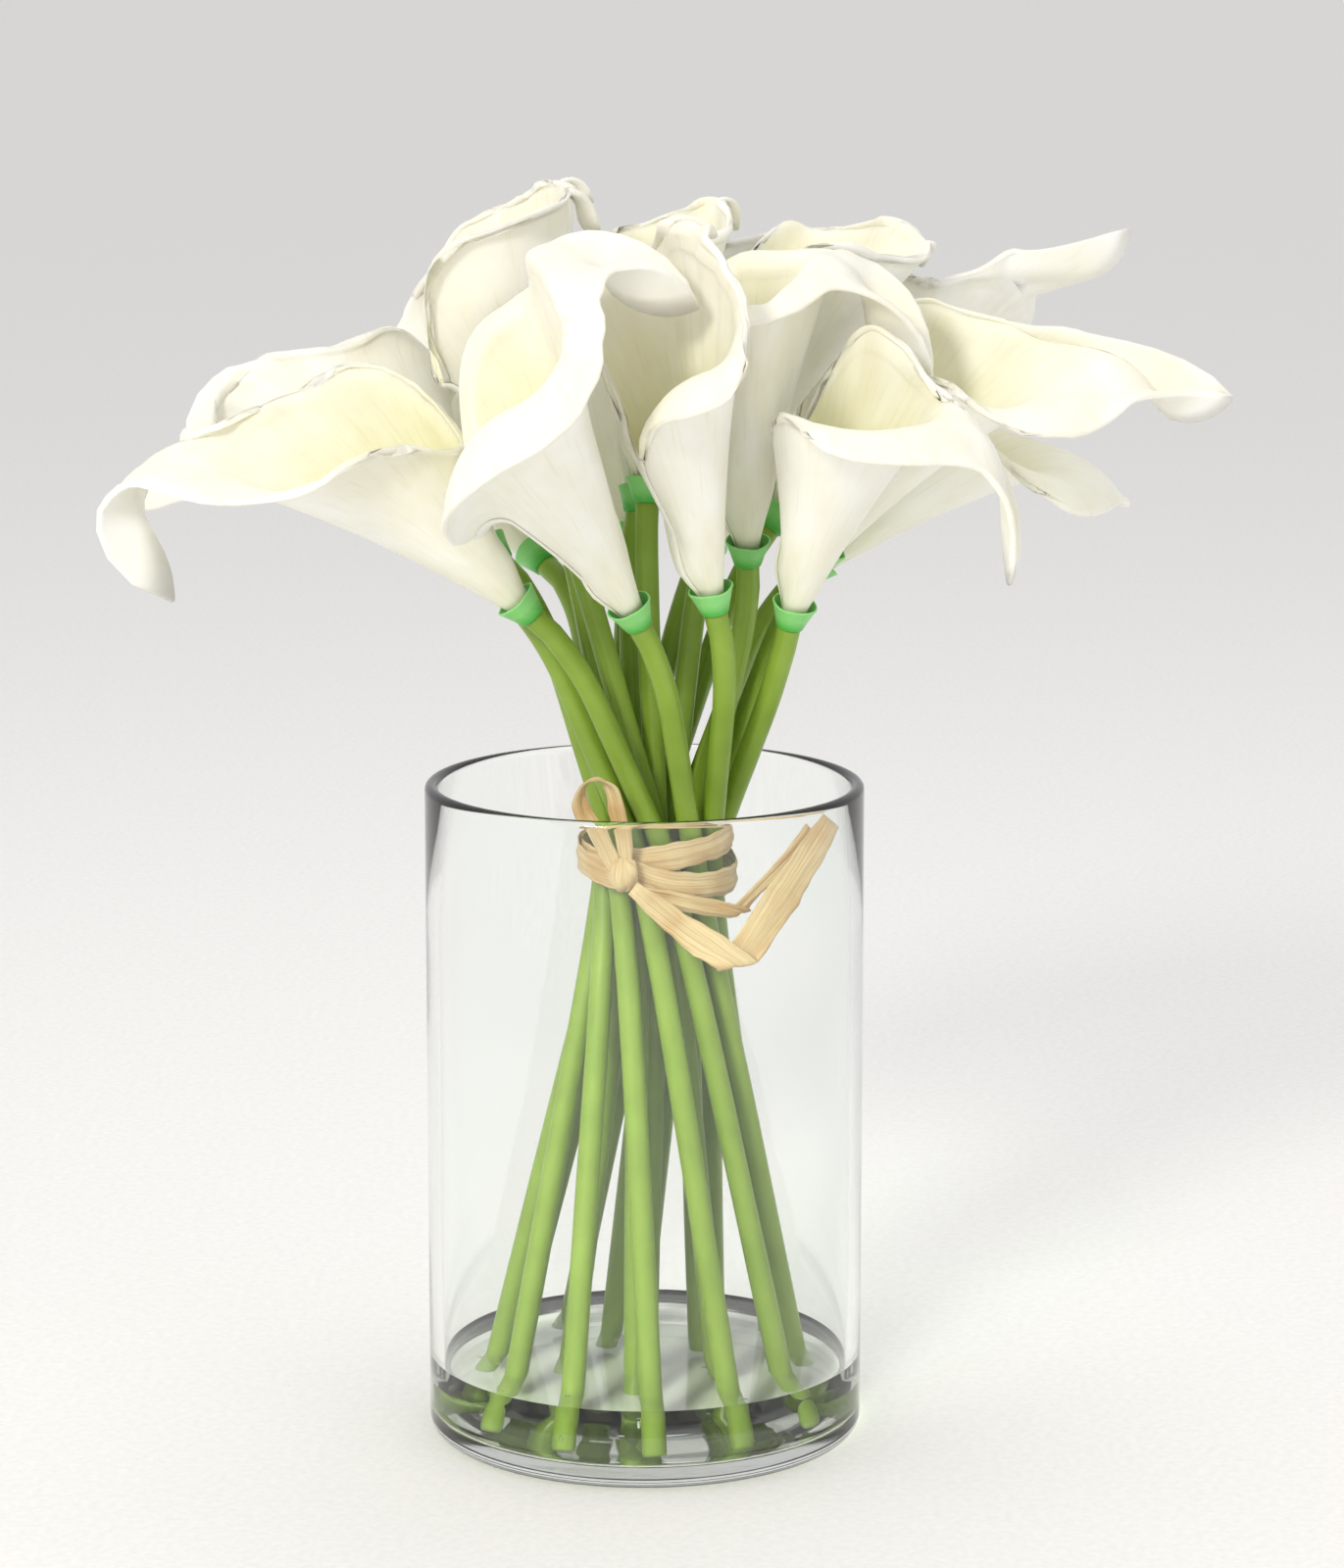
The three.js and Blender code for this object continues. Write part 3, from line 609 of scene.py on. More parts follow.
# The leaf is a sheet rolled into a funnel; angle 0 is its back, half a turn its front. Each line
# up it is a chain of arcs, each a length and how far it bends outwards.
def walkArcs(start, arcs, distance):
    out = np.full_like(distance, leafShape["throatRadius"])
    up = np.zeros_like(distance)
    angle, left = start, distance
    for length, bend in arcs:
        step = np.clip(left, 0, length)
        curve = bend / length
        straight = np.abs(curve) < 1e-6
        safe = np.where(straight, 1, curve)
        turned = angle + curve * step
        bowOut = (np.cos(angle) - np.cos(turned)) / safe
        bowUp = (np.sin(turned) - np.sin(angle)) / safe
        out += np.where(straight, step * np.sin(angle), bowOut)
        up += np.where(straight, step * np.cos(angle), bowUp)
        angle = turned
        left = left - step
    return out, up


def leafArcs(one, angle, room=None):
    back = np.maximum(0, np.cos(angle)) ** 2
    front = np.maximum(0, -np.cos(angle)) ** 2
    side = np.sin(angle) ** 2

    def mix(four):
        return four[0] * back + np.where(np.sin(angle) > 0, four[1], four[2]) * side + four[3] * front

    tip = one["tip"]
    spread = (np.abs(angle) / tip["width"]) ** leafShape["tipSharpness"]
    half = tip["length"] / 2 * np.exp(-spread) + 1
    opening, roll = room or roomAt(one, angle)
    lipLength = mix(one["lip"]) * between(leafShape["crowdedLip"], 1, roll)
    lipRoll = mix(one["roll"]) * between(leafShape["crowdedRoll"], 1, roll)
    start = np.radians(leafShape["throatAngle"] * opening)
    arcs = [
        (mix(one["body"]), np.radians(leafShape["bellyTurn"] * opening)),
        (lipLength, np.radians(lipRoll)),
        (half, np.radians(tip["curl"] * half / (tip["length"] / 2))),
        (half, np.radians(-tip["lift"] * half / (tip["length"] / 2))),
    ]
    return start, arcs


def leafDistance(arcs, place):
    parts = [arcs[0][0], arcs[1][0], arcs[2][0] + arcs[3][0]]
    return sum(length * np.clip(place - i, 0, 1) for i, length in enumerate(parts))


def leafPlace(one, angle, place, room=None):
    start, arcs = leafArcs(one, angle, room)
    out, up = walkArcs(start, arcs, leafDistance(arcs, place))
    up = up + clearance + leafShape["foam"]["throat"] / 2
    return (
        one["seat"]
        + up[..., None] * one["axis"]
        + (out * np.cos(angle))[..., None] * one["back"]
        + (out * np.sin(angle))[..., None] * one["side"]
    )


# How far points are outside the funnel that a flower shows its neighbours, and its middle there.
def outside(points, one):
    keep = crowd["keep"]
    along = (points - one["seat"]) @ one["axis"]
    at = np.clip(along, keep["start"], keep["end"])
    middle = one["seat"] + at[..., None] * one["axis"]
    up = np.clip(at, 0, keep["full"])
    radius = keep["radius"] + up * math.tan(math.radians(keep["angle"]))
    return np.linalg.norm(points - middle, axis=-1) - radius, middle


# The share to which a leaf opens and rolls its lip at each angle: less where neighbours crowd it.
def findRoom(one):
    ways = crowd["ways"]
    angles = np.arange(ways) * turn / ways
    others = [other for other in flowers if other is not one]

    def crowding(opening, roll, places):
        worst = np.full(ways, -np.inf)
        for place in places:
            points = leafPlace(one, angles, np.full(ways, float(place)), (opening, roll))
            nearest = np.min([outside(points, other)[0] for other in others], axis=0)
            worst = np.maximum(worst, outside(points, one)[0] - nearest + crowd["between"])
        return worst

    def most(make, places):
        shares = crowd["shares"]
        scores = np.array([crowding(*make(np.full(ways, share)), places) for share in shares])
        found = np.full(ways, np.nan)
        for share, row in zip(shares, scores):
            found = np.where(np.isnan(found) & (row < crowd["slack"]), share, found)
        return np.where(np.isnan(found), np.array(shares)[scores.argmin(0)], found)

    roll = np.full(ways, crowd["tryRoll"])
    opening = most(lambda share: (share, roll), crowd["bodyPlaces"])
    opening = np.maximum(crowd["leastOpening"], opening)
    roll = most(lambda share: (opening, share), crowd["lipPlaces"])
    for _ in range(2):
        opening = (np.roll(opening, 1) + 2 * opening + np.roll(opening, -1)) / 4
        roll = (np.roll(roll, 1) + 2 * roll + np.roll(roll, -1)) / 4
    return opening, roll


def roomAt(one, angle):
    ways = crowd["ways"]
    place = (angle / turn) % 1 * ways
    low = np.floor(place).astype(int) % ways
    share = ease(0, 1, place - np.floor(place))
    return [table[low] * (1 - share) + table[(low + 1) % ways] * share for table in one["room"]]


# Moves points of one leaf off the funnels of its neighbours, softly.
def settle(points, one):
    points = points.copy()
    for other in flowers * crowd["rounds"]:
        if other is one:
            continue
        own, ownMiddle = outside(points, one)
        theirs, theirMiddle = outside(points, other)
        excess = own - theirs + crowd["between"]
        press = (excess + np.hypot(excess, crowd["give"])) / 2
        away = unit(points - ownMiddle) - unit(points - theirMiddle)
        share = -press / np.maximum((away**2).sum(-1), 0.5)
        points += np.where(press < crowd["least"], 0, share)[..., None] * away
    return points


def pushAt(one, angle, place):
    free = leafPlace(one, angle, place)
    hold = ease(0, crowd["heldFoot"], place * one["body"][1])
    if one["tip"]["free"]:
        hold = hold * np.minimum(1, 3 - place)
    return (settle(free, one) - free) * hold[..., None]


# How high points are along a flower's axis, and how they lie off it.
def offAxis(points, one):
    up = (points - one["seat"]) @ one["axis"]
    return up, points - one["seat"] - up[..., None] * one["axis"]


# Points on the middle of the leaf. Foam doesn't crease, so a neighbour's push is spread round.
def leafPoints(one, angle, place):
    points = leafPlace(one, angle, place)
    for turnStep in (-1, 0, 1):
        for slideStep in (-1, 0, 1):
            share = (2 - abs(turnStep)) * (2 - abs(slideStep)) / 16
            there = np.clip(place + slideStep * crowd["pushSlide"], 0, 3)
            points = points + share * pushAt(one, angle + turnStep * crowd["pushTurn"], there)
    up, away = offAxis(points, one)
    start = ease(0, leafShape["spadixFoot"], place * one["body"][1])
    roomy = spadixShape["radius"] + leafShape["spadixRoom"]
    least = between(leafShape["throatRadius"], roomy, start)
    top = spadixShape["neck"] + spadixShape["length"] + leafShape["aboveSpadix"]
    tight = (up <= top) & (np.linalg.norm(away, axis=-1) < least)
    held = points - away + unit(away) * least[..., None]
    return np.where(tight[..., None], held, points)


# Angles round the leaf, closest together at the lapping edges, and places up it: 0 to 1 is the
# funnel, 1 to 2 the lip and 2 to 3 the tip.
def leafGrid():
    back, sides = np.linspace(0, 0.6, 13), np.linspace(0.68, 2.5, 21)
    half = np.concatenate([back, sides, [2.62, 2.76, 2.9, 3.02, 3.09, 3.12, math.pi]])
    funnel, lip = np.linspace(0, 1, 15)[:-1], np.linspace(0, 1, 14)[:-1]
    tip = 1 - (1 - np.linspace(0, 1, 15)) ** 1.8
    return np.concatenate([-half[:0:-1], half]), np.concatenate([funnel, 1 + lip, 2 + tip])


def spatheMesh(one, number):
    shape, foamShape, flap = leafShape, leafShape["foam"], leafShape["flapReach"]
    nominal, rows = leafGrid()
    reach = between(flap["throat"], flap["rim"], rows / 3)
    size = np.abs(nominal)[:, None]
    grow = np.clip((size - shape["edgeFrom"]) / (math.pi - shape["edgeFrom"]), 0, 1) * reach
    angle = np.sign(nominal)[:, None] * (size + grow)
    place = np.broadcast_to(rows, angle.shape)
    middle = leafPoints(one, angle, place)

    normal = unit(np.cross(np.gradient(middle, axis=0), np.gradient(middle, axis=1)))
    phase = chance.uniform(0, turn, 3)
    wave = np.sin(5 * angle + phase[0]) + 0.7 * np.sin(9 * angle + phase[1] + 2 * place)
    atLip = ease(0.9, 2.2, place) * (1 - ease(2.3, 3, np.abs(angle)))
    middle = middle + normal * (shape["ruffle"] * wave * atLip)[..., None]

    steps = np.linalg.norm(np.diff(middle, axis=1), axis=-1)
    run = np.pad(steps.cumsum(1), ((0, 0), (1, 0)))
    left = run[:, -1:] - run
    radius = np.linalg.norm(offAxis(middle, one)[1], axis=-1)
    toSide = (math.pi + reach - np.abs(angle)) * radius
    full = between(foamShape["throat"], foamShape["full"], ease(0, foamShape["fullAt"], run))
    lap = between(shape["lapEdge"], 1, ease(0, foamShape["lapTaper"], toSide))
    swell = 1 + shape["rimSwell"] * (1 - ease(0, shape["rimSwellDepth"], left))
    near = np.clip(np.minimum(left, toSide) / foamShape["rimRound"], 0, 1)
    thick = full * lap * swell * np.sqrt(np.maximum(0.01, 1 - (1 - near) ** 2))
    parting = np.sign(angle) * ease(shape["flapFrom"], math.pi - reach, np.abs(angle))
    step = parting * (thick / 2 + shape["lapGap"])
    skins = [middle + normal * (step + face * thick / 2)[..., None] for face in (1, -1)]
    uv = np.stack([angle * shape["girth"], run], -1).reshape(-1, 2)
    addPiece(
        f"foam_spathe_{number}",
        np.concatenate([skin.reshape(-1, 3) for skin in skins]),
        sheetFaces(*angle.shape),
        foam,
        [f"spathe_{number}"],
        np.concatenate([uv, uv]),
        "leaf",
        {"inner": np.repeat([0, 1], angle.size)},
    )


stemShape = {
    "radius": 3.4,
    "sides": 18,
    "steps": 12,
    "easing": 90,  # rounds of smoothing that take the kinks out of a stem
    "easedTo": 6,  # steps below the head where the smoothing stops
    "intoCollar": 0.75,
    "footRound": 0.4,
    "footRoundUp": 0.5,
    "uneven": 0.03,
    "gap": 0.8,
    "footRoom": 9,  # between the outer feet and the glass
    "footTwist": 45,
    "lower": [0.35, 0.7],  # shares of the way from the foot to the tie, then from the tie on
    "upper": [0.25, 0.5, 0.72],
    "under": 20,  # how far below its seat a stem already points at the head
    "rounds": 200,
    "reach": 90,
    "yield": 0.3,
    "waist": (4, 0, 172),
    "rings": [(12, 15.2, 258), (5, 7.8, 290), (1, 0, 0)],
}
vaseShape = {
    "radius": 65,
    "height": 198,
    "wall": 4,
    "floor": 6,
    "heel": 5,
    "cove": 4,
    "rings": (40, 80, 120, 160),
    "sides": 128,
}


def nearestOn(a, b, p):
    ab = [b[i] - a[i] for i in range(3)]
    size = sum(v * v for v in ab)
    share = sum((p[i] - a[i]) * ab[i] for i in range(3)) / size if size else 0
    share = min(1, max(0, share))
    return [a[i] + ab[i] * share for i in range(3)]


# The centre line of each stem, from its foot through the tie to its collar. Stems that meet on
# the way push each other aside.
def layStems():
    shape = stemShape
    waist = np.array(shape["waist"], float)
    spots = [(r, first + 360 / count * k) for count, r, first in shape["rings"] for k in range(count)]
    room = vaseShape["radius"] - vaseShape["wall"] - shape["footRoom"] - shape["radius"]
    spread = room / shape["rings"][0][1]
    paths = []
    for one, (radius, degrees) in zip(flowers, spots):
        a = math.radians(degrees)
        atWaist = np.array([math.cos(a) * radius, math.sin(a) * radius, 0])
        b = a + math.radians(shape["footTwist"])
        foot = np.array([math.cos(b), math.sin(b), 0]) * radius * spread
        tied = atWaist + waist
        tilt = np.linalg.norm(foot - atWaist) / (waist[2] - vaseShape["floor"])
        foot[2] = vaseShape["floor"] + clearance + shape["radius"] * math.sin(math.atan(tilt))
        under = one["seat"] - one["axis"] * shape["under"]
        stations = [foot] + [between(foot, tied, share) for share in shape["lower"]] + [tied]
        stations += [between(tied, under, share) for share in shape["upper"]] + [under]
        paths.append([list(map(float, station)) for station in stations])
    apart = 2 * shape["radius"] + shape["gap"]
    last = len(paths[0]) - 1
    for _ in range(shape["rounds"]):
        for s in range(1, last + 1):
            for path in paths:
                p = path[s]
                for other in paths:
                    if other is path:
                        continue
                    o = other[s]
                    if math.dist(o, p) > shape["reach"]:
                        continue
                    before = nearestOn(other[s - 1], o, p)
                    after = nearestOn(o, other[min(s + 1, last)], p)
                    closest = before if math.dist(before, p) < math.dist(after, p) else after
                    short = apart - math.dist(closest, p)
                    away = math.hypot(p[0] - closest[0], p[1] - closest[1])
                    if short > 0 and away > 0:
                        p[0] += (p[0] - closest[0]) / away * short * shape["yield"]
                        p[1] += (p[1] - closest[1]) / away * short * shape["yield"]
    return [np.array(path) for path in paths]


# A smooth curve through points, slowing at close ones as a bent wire does.
def smoothPath(points, steps):
    points = np.asarray(points, float)
    ends = [2 * points[0] - points[1], *points, 2 * points[-1] - points[-2]]
    curve = []
    for i in range(len(points) - 1):
        p0, p1, p2, p3 = ends[i : i + 4]
        d0, d1, d2 = (max(math.dist(a, b), 1e-6) ** 0.5 for a, b in ((p0, p1), (p1, p2), (p2, p3)))
        t1 = ((p1 - p0) / d0 - (p2 - p0) / (d0 + d1) + (p2 - p1) / d1) * d1
        t2 = ((p2 - p1) / d1 - (p3 - p1) / (d1 + d2) + (p3 - p2) / d2) * d1
        for k in range(steps):
            t = k / steps
            bend = 3 * (p2 - p1) - 2 * t1 - t2
            back = 2 * (p1 - p2) + t1 + t2
            curve.append(p1 + t1 * t + bend * t**2 + back * t**3)
    curve.append(points[-1])
    return np.array(curve)


# Frames along a path that never twist.
def alongPath(path, start):
    ways = unit(np.gradient(path, axis=0))
    sides = []
    side = np.array(start, float)
    for way in ways:
        side = unit(side - way * side.dot(way))
        sides.append(side)
    return ways, np.array(sides)


def ringWays(side, other, count):
    angles = (np.arange(count) * turn / count)[:, None]
    return np.cos(angles) * side[..., None, :] + np.sin(angles) * other[..., None, :]


def runAlong(path):
    return np.concatenate([[0], np.linalg.norm(np.diff(path, axis=0), axis=1).cumsum()])


def tubeParts(path, radii, count):
    ways, sides = alongPath(path, (1, 0.1, 0))
    angles = np.arange(count) * turn / count
    ring = ringWays(sides, np.cross(ways, sides), count)
    points = path[:, None] + ring * np.asarray(radii)[:, None, None]
    run = runAlong(path)
    uv = np.stack(np.broadcast_arrays(np.sin(angles / 2)[None] * 10, run[:, None]), -1)
    return points.reshape(-1, 3), tubeFaces(len(path), count), uv.reshape(-1, 2)


def stemMesh(one, path, number):
    shape = stemShape
    head = one["seat"] - one["axis"] * shape["intoCollar"]
    line = smoothPath([*path, head], shape["steps"])
    end = shape["easedTo"]
    for _ in range(shape["easing"]):
        line[1:-end] = (line[: -end - 1] + 2 * line[1:-end] + line[2 : 1 - end]) / 4
    first = line[0] + unit(line[1] - line[0]) * shape["footRoundUp"]
    line = np.concatenate([[line[0], first], line[1:]])
    radii = np.full(len(line), shape["radius"])
    radii[0] -= shape["footRound"]
    radii += shape["uneven"] * np.sin(np.arange(len(line)) * 0.4 + chance.uniform(0, turn))
    points, faces, uv = tubeParts(line, radii, shape["sides"])
    uv = uv + chance.uniform(0, 200, 2)
    addPiece(f"stem_tube_{number}", points, faces, stemSkin, [f"stem_{number}"], uv)


collarShape = {
    "outside": [(0, -1.5), (3.5, -1.5), (4, -1.2), (4.2, -0.6), (4.9, 1.6), (5.6, 3.6), (6.2, 5.3)],
    "inside": [(5.5, 4.6), (4.8, 2.4), (4.2, 0), (0, 0)],
    "height": 6.5,
    "mouthRadius": 6.6,
    "wall": 0.6,
    "sides": 40,
    "dip": 0.35,  # the cup's mouth is a little uneven
}


def collarMesh(one, number):
    shape = collarShape
    lip = shape["wall"] / 2
    mouth = arcPoints(shape["mouthRadius"] - lip, shape["height"] - lip, lip, -20, 200, 6)
    profile = shape["outside"] + mouth + shape["inside"]
    points, faces, uv = latheParts(profile, shape["sides"], one["seat"], one["axis"], one["back"])
    points = np.array(points)
    rel = points - one["seat"]
    up = rel @ one["axis"]
    angle = np.arctan2(rel @ one["side"], rel @ one["back"])
    dip = np.sin(3 * angle + chance.uniform(0, turn)) * ease(3, shape["height"], up)
    points = points - shape["dip"] * np.maximum(dip, 0)[:, None] * one["axis"]
    addPiece(f"collar_{number}", points, faces, collarSkin, [f"stem_{number}"], uv)


# The wire neck and the beaded spadix on it: beads sit in two crossing spirals.
def spadixMesh(one, number):
    shape = spadixShape
    count, rings = shape["sides"], shape["rings"]
    base = shape["neck"] + clearance
    heights = np.linspace(0, 1, rings)
    outline = np.interp(heights, *shape["outline"])
    around = shape["around"] / 2 * np.arange(count) * turn / count
    up = math.pi * heights[:, None] * shape["length"] / shape["beadStep"]
    bead = np.sqrt((0.5 + 0.5 * np.cos(around + up)) * (0.5 + 0.5 * np.cos(around - up)))
    radius = shape["radius"] * outline[:, None] * (1 - shape["beadDepth"] * (1 - bead))
    middle = one["seat"] + (base + heights * shape["length"])[:, None] * one["axis"]
    points = middle[:, None] + ringWays(one["back"], one["side"], count) * radius[..., None]
    body = points.reshape(-1, 3)
    neckPath = np.array([one["seat"] + one["axis"] * height for height in (-0.2, 3, 6, base + 1)])
    neck, neckFaces, _ = tubeParts(neckPath, [shape["neckRadius"]] * 4, 16)
    faces = tubeFaces(rings, count) + [tuple(i + len(body) for i in face) for face in neckFaces]
    # The bead value also sets the painted shade in the grooves; the neck gets a middle tone.
    values = np.concatenate([bead.ravel(), np.full(len(neck), 0.4)])
    addPiece(
        f"beaded_spadix_{number}",
        np.concatenate([body, neck]),
        faces,
        beads,
        [f"spadix_{number}"],
        values={"bead": values},
    )


for one in flowers:
    one["room"] = findRoom(one)
print("room found for", len(flowers), "leaves")
stemPaths = layStems()
print("stems laid")
for index, one in enumerate(flowers):
    label = f"{index + 1:02d}"
    spatheMesh(one, label)
    stemMesh(one, stemPaths[index], label)
    collarMesh(one, label)
    spadixMesh(one, label)
print("flowers made")


# Raffia: two turns round the bunch, a knot with a standing loop, two folded ends.
raffiaShape = {
    "thickness": 0.7,
    "body": 0.75,  # the share of that left between the folds
    "edge": 0.18,
    "flatEnds": 4,
    "bandSteps": 40,
    "bandRadius": 22.1,
    "bandWidth": 7.4,
    "bandRise": 5.5,
    "bandMiddle": 174,
    "knotAngle": 247,
    "knot": (1.8, 5.8, 0),
    "knotSize": (4.6, 3.2, 5),
    "crinkle": 0.22,
}
# Places here are from where the knot is tied: degrees on round the bunch, out from the band's
# first turn, and up.
loopPath = [
    ((-2.3, 6.9, 1.5), (1.8, 0.4, 1)),
    ((-9.5, 10.5, 12), (2.4, 0.6, 1.2)),
    ((-15.5, 14.2, 22.5), (2.2, 1.6, 0.6)),
    ((-13.6, 13.8, 28.2), (0.4, 2.6, -0.6)),
    ((-8, 11.7, 30), (-0.6, 2.7, 0)),
    ((-2.6, 9.8, 27), (-1.6, 1.8, -0.6)),
    ((-0.1, 8.5, 20), (-2.5, 0.6, -0.4)),
    ((2.5, 6.5, 10), (-2.4, 0.4, -0.4)),
    ((3.5, 5.5, 2), (-1.8, 0.4, -0.2)),
]
glassRoom = vaseShape["radius"] - vaseShape["wall"] - raffiaShape["bandRadius"]
longTail = {
    "start": (7.8, 6.2, -3.6),
    "middle": (38.9, 5.3, -15.4),
    "fold": (64, 0.334 * glassRoom, -25.6),
    "end": (97.6, 0.792 * glassRoom, 13),
    "halfWidth": (2.2, 4, 4.6, 3),
}
shortTail = {
    "start": (12, 3, -5.4),
    "middle": (44.7, 2.2, -9),
    "fold": (74, 0.193 * glassRoom, -12.6),
    "end": (97.2, 0.661 * glassRoom, 9),
    "halfWidth": (1.6, 2.6, 1.9, 3),
}


def fromTie(place):
    degrees, out, up = place
    angle = math.radians(raffiaShape["knotAngle"] + degrees)
    radius = raffiaShape["bandRadius"] + out
    x, y, _ = stemShape["waist"]
    height = raffiaShape["bandMiddle"] + up
    return np.array([x + radius * math.cos(angle), y + radius * math.sin(angle), height])


# A strip through stations, each a place and the vector to half its width: thin edges, and
# lengthwise folds that the dried leaf keeps.
def stripMesh(name, places, halves, nodes, steps=8, across=13):
    path = smoothPath(places, steps)
    half = smoothPath(halves, steps)
    ways = np.gradient(path, axis=0)
    normal = unit(np.cross(ways, half))
    spread = np.linspace(-1, 1, across)
    run = runAlong(path)
    width = np.linalg.norm(half, axis=1)
    phase = chance.uniform(0, turn, 4)
    uneven = 1 + 0.05 * np.sin(run * 0.35 + phase[0]) + 0.04 * np.sin(run * 0.9 + phase[1])
    middle = path[:, None] + half[:, None] * (spread * uneven[:, None])[..., None]
    ridge = np.sin(spread * 5.2 + phase[2] + 0.05 * run[:, None])
    ridge = ridge + 0.5 * np.sin(spread * 11 + phase[3] - 0.08 * run[:, None])
    flat = ease(0, raffiaShape["flatEnds"], run) * ease(0, raffiaShape["flatEnds"], run[-1] - run)
    middle = middle + normal[:, None] * (raffiaShape["crinkle"] * ridge * flat[:, None])[..., None]
    body = raffiaShape["thickness"] / 2 * raffiaShape["body"]
    thick = body * np.sqrt(np.maximum(raffiaShape["edge"] ** 2, 1 - spread**4))
    skins = [middle + face * normal[:, None] * thick[:, None] for face in (1, -1)]
    points = np.concatenate([skin.reshape(-1, 3) for skin in skins])
    uv = np.stack(np.broadcast_arrays(spread * width[:, None], run[:, None]), -1).reshape(-1, 2)
    uv = np.tile(uv + chance.uniform(0, 90, 2), (2, 1))
    faces = sheetFaces(len(path), across)
    addPiece(name, points, faces, raffia, nodes, uv, "strip")


def bandStations():
    shape = raffiaShape
    x, y, _ = stemShape["waist"]
    places, halves = [], []
    for i in range(2 * shape["bandSteps"] + 1):
        turns = i / shape["bandSteps"]
        angle = math.radians(shape["knotAngle"] + 360 * turns)
        radius = shape["bandRadius"] + turns * (shape["thickness"] + clearance)
        part = 1 - 2 * float(ease(0.9, 1.1, turns))
        rise = shape["bandRise"] * (0.5 + 0.5 * math.cos(angle + 0.2)) * part
        height = shape["bandMiddle"] + rise
        places.append((x + radius * math.cos(angle), y + radius * math.sin(angle), height))
        halves.append((0, 0, shape["bandWidth"] / 2))
    return places, halves


# An end runs out to its crease, folds over behind itself and goes on.
def tailStations(start, middle, fold, end, halfWidth):
    start, bend, crease, to = (fromTie(place) for place in (start, middle, fold, end))
    front = np.array([0, -1.0, 0])
    inward, outward = unit(crease - bend), unit(to - crease)

    def across(direction, width):
        return unit(np.cross(direction, front)) * width

    line = unit(inward + outward)
    wide = halfWidth[2] / math.sqrt(1 - line.dot(inward) ** 2)
    atCrease = line * wide * (1 if across(inward, 1).dot(line) > 0 else -1)
    behind = -front * (raffiaShape["thickness"] + clearance)
    overFold = crease + (unit(inward - outward) + behind) / 2
    onward = between(crease, to, 0.55) + behind
    places = [start, bend, crease, overFold, crease + behind, onward, to + behind]
    halves = [across(bend - start, halfWidth[0]), across(crease - start, halfWidth[1])]
    halves += [atCrease] * 3
    halves += [across(outward, -halfWidth[2]), across(outward, -halfWidth[3])]
    return places, halves


def knotMesh():
    shape = raffiaShape
    count, rings = 40, 26
    points, uv = [], []
    for r in range(rings):
        tilt = math.pi * (r + 0.5) / rings
        for i in range(count):
            a = turn * i / count
            lump = onSphere(tilt, a)
            fold = 0.95 - 0.05 * (math.cos(7 * a + 5 * lump[2]) + math.cos(3 * a - 4 * lump[2]))
            points.append(fromTie(shape["knot"]) + lump * np.array(shape["knotSize"]) * fold)
            uv.append((a * 4, tilt * 5))
    faces = [face[::-1] for face in tubeFaces(rings, count)]
    addPiece("raffia_knot_lump", points, faces, raffia, ["raffia_knot"], uv, "strip")


stripMesh("raffia_band", *bandStations(), ["raffia_wrap"], 3)
loopPlaces = [fromTie(place) for place, _ in loopPath]
stripMesh("raffia_loop", loopPlaces, [half for _, half in loopPath], ["raffia_knot"])
stripMesh("raffia_end_long", *tailStations(**longTail), ["raffia_tail_long"])
stripMesh("raffia_end_short", *tailStations(**shortTail), ["raffia_tail_short"])
knotMesh()
print("tie made")


def vaseMesh():
    shape = vaseShape
    heel, cove, floor = shape["heel"], shape["cove"], shape["floor"]
    inner = shape["radius"] - shape["wall"]
    half = shape["wall"] / 2
    foot = [(0, 0), (30, 0), (52, 0)] + arcPoints(shape["radius"] - heel, heel, heel, -90, 0, 10)
    wall = [(shape["radius"], z) for z in shape["rings"]]
    rim = arcPoints(shape["radius"] - half, shape["height"] - half, half, 0, 180, 14)
    inside = [(inner, z) for z in shape["rings"][::-1]]
    hollow = arcPoints(inner - cove, floor + cove, cove, 0, -90, 8) + [(30, floor), (0, floor)]
    points, faces, _ = latheParts(foot + wall + rim + inside + hollow, shape["sides"])
    addPiece("glass_cylinder", points, faces, glass, ["vase"])


waterShape = {
    "depth": 17,
    "meniscus": 0.8,
    "reach": 2.4,
    "intoGlass": 0.05,
    "bubbles": 90,
    "bubbleSize": (0.3, 0.85),
    "bubbleFrom": 2.5,
}


def waterMesh():
    cove = vaseShape["cove"]
    inner = vaseShape["radius"] - vaseShape["wall"] + waterShape["intoGlass"]
    low = vaseShape["floor"] - waterShape["intoGlass"]
    top = vaseShape["floor"] + waterShape["depth"]
    profile = [(0, low), (30, low)] + arcPoints(inner - cove, low + cove, cove, -90, 0, 8)
    for part in np.linspace(0, 1, 8):
        climb = waterShape["meniscus"] * (1 - part) ** 3
        profile.append((inner - waterShape["reach"] * part, top + climb))
    profile += [(r, top) for r in (45, 30, 15, 0)]
    points, faces, _ = latheParts(profile, vaseShape["sides"])
    addPiece("water_body", points, faces, water, ["water"])


# Air bubbles that cling to the stems' feet under water.
def bubbleMesh():
    shape = waterShape
    points, faces = [], []
    for k in range(shape["bubbles"]):
        path = stemPaths[k % len(stemPaths)]
        foot, above = path[0], path[1]
        height = chance.uniform(shape["bubbleFrom"], shape["depth"] - 1.5)
        size = chance.uniform(*shape["bubbleSize"])
        at = foot + (above - foot) * (height / (above[2] - foot[2]))
        a = chance.uniform(0, turn)
        at = at + np.array([math.cos(a), math.sin(a), 0]) * (stemShape["radius"] + size * 0.9)
        start = len(points)
        for r in range(6):
            for i in range(10):
                spot = onSphere(math.pi * (r + 0.5) / 6, turn * i / 10)
                points.append(at + size * spot * (1, 1, 0.92))
        faces += [tuple(i + start for i in face)[::-1] for face in tubeFaces(6, 10)]
    addPiece("water_bubbles", points, faces, air, None)


vaseMesh()
waterMesh()
bubbleMesh()
print("vase and water made")

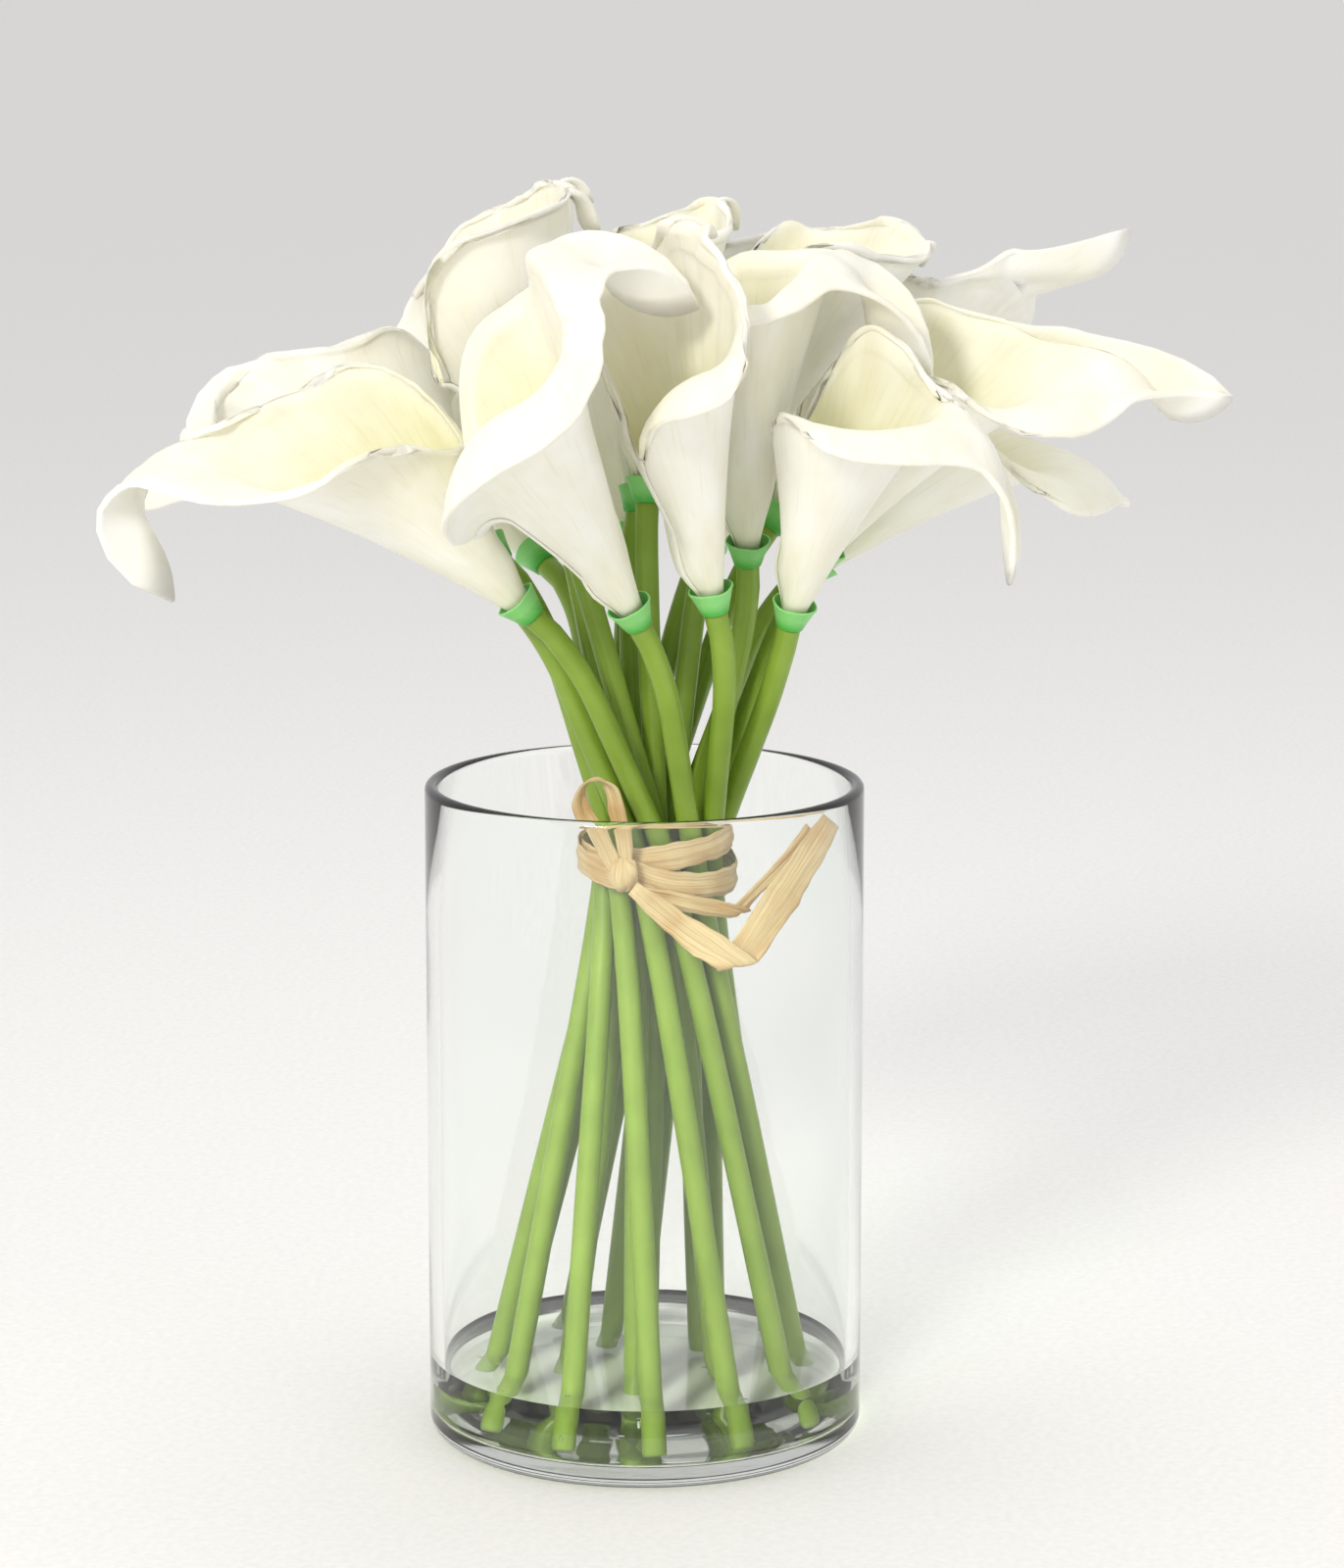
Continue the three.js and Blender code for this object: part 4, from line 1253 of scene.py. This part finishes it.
# A plain pale floor, soft light and the camera.
setting = {
    "floorSize": 60,
    "floorDrop": 0.0002,
    "floor": [(0.3, "#f4f3f1"), (0.7, "#fbfaf8")],
    "world": "#ffffff",
    "worldLight": 0.72,
}


def floorBoard():
    mesh = bpy.data.meshes.new("painted_board")
    half = setting["floorSize"] / 2
    corners = [(-half, -half), (half, -half), (half, half), (-half, half)]
    points = [(x, y, -setting["floorDrop"]) for x, y in corners]
    mesh.from_pydata(points, [], [(0, 1, 2, 3)])
    board = bpy.data.objects.new("painted_board", mesh)
    bpy.context.scene.collection.objects.link(board)
    # Matt emulsion on board: near white, with a roller's faint stipple.
    material, tree, shader = startMaterial("mattEmulsion", Roughness=0.85, IOR=1.45)
    at = addNode(tree, "TexCoord").outputs["Object"]
    stipple = addNode(tree, "TexNoise", {"Vector": at, "Scale": 400.0, "Detail": 2.0})
    colour = setRamp(addNode(tree, "ValToRGB", {0: stipple}), setting["floor"])
    feed(tree, shader, {"Base Color": colour})
    mesh.materials.append(material)


def addLamp(name, at, aim, size, power, colour):
    data = bpy.data.lights.new(name, "AREA")
    data.shape = "DISK"
    data.size = size
    data.energy = power
    data.color = linear(colour)[:3]
    lamp = bpy.data.objects.new(name, data)
    lamp.location = at
    lamp.rotation_euler = (Vector(aim) - Vector(at)).to_track_quat("-Z", "Y").to_euler()
    bpy.context.scene.collection.objects.link(lamp)


floorBoard()
addLamp("keyLamp", (-0.75, -1.5, 1.15), (0, 0, 0.25), 0.4, 17, "#fffaf2")
addLamp("fillLamp", (1.6, -1.1, 0.9), (0, 0, 0.2), 1.4, 3, "#f6f9ff")
addLamp("topLamp", (0.1, 0.5, 1.7), (0, 0, 0.2), 1.2, 4, "#ffffff")
world = bpy.data.worlds.new("studio")
bpy.context.scene.world = world
world.use_nodes = True
world.node_tree.nodes["Background"].inputs["Color"].default_value = linear(setting["world"])
world.node_tree.nodes["Background"].inputs["Strength"].default_value = setting["worldLight"]

cameraShape = {"lens": 110, "at": (0, -1392.25, 461.65), "down": 10.764, "right": 0.335}
lens = bpy.data.cameras.new("camera")
lens.lens = cameraShape["lens"]
lens.sensor_width = 36
lens.clip_end = 100
camera = bpy.data.objects.new("camera", lens)
camera.location = Vector(cameraShape["at"]) * mm
camera.rotation_euler = (math.radians(90 - cameraShape["down"]), 0, math.radians(-cameraShape["right"]))
bpy.context.scene.collection.objects.link(camera)
bpy.context.scene.camera = camera
bpy.context.scene.view_settings.view_transform = "Standard"
print("setting made")
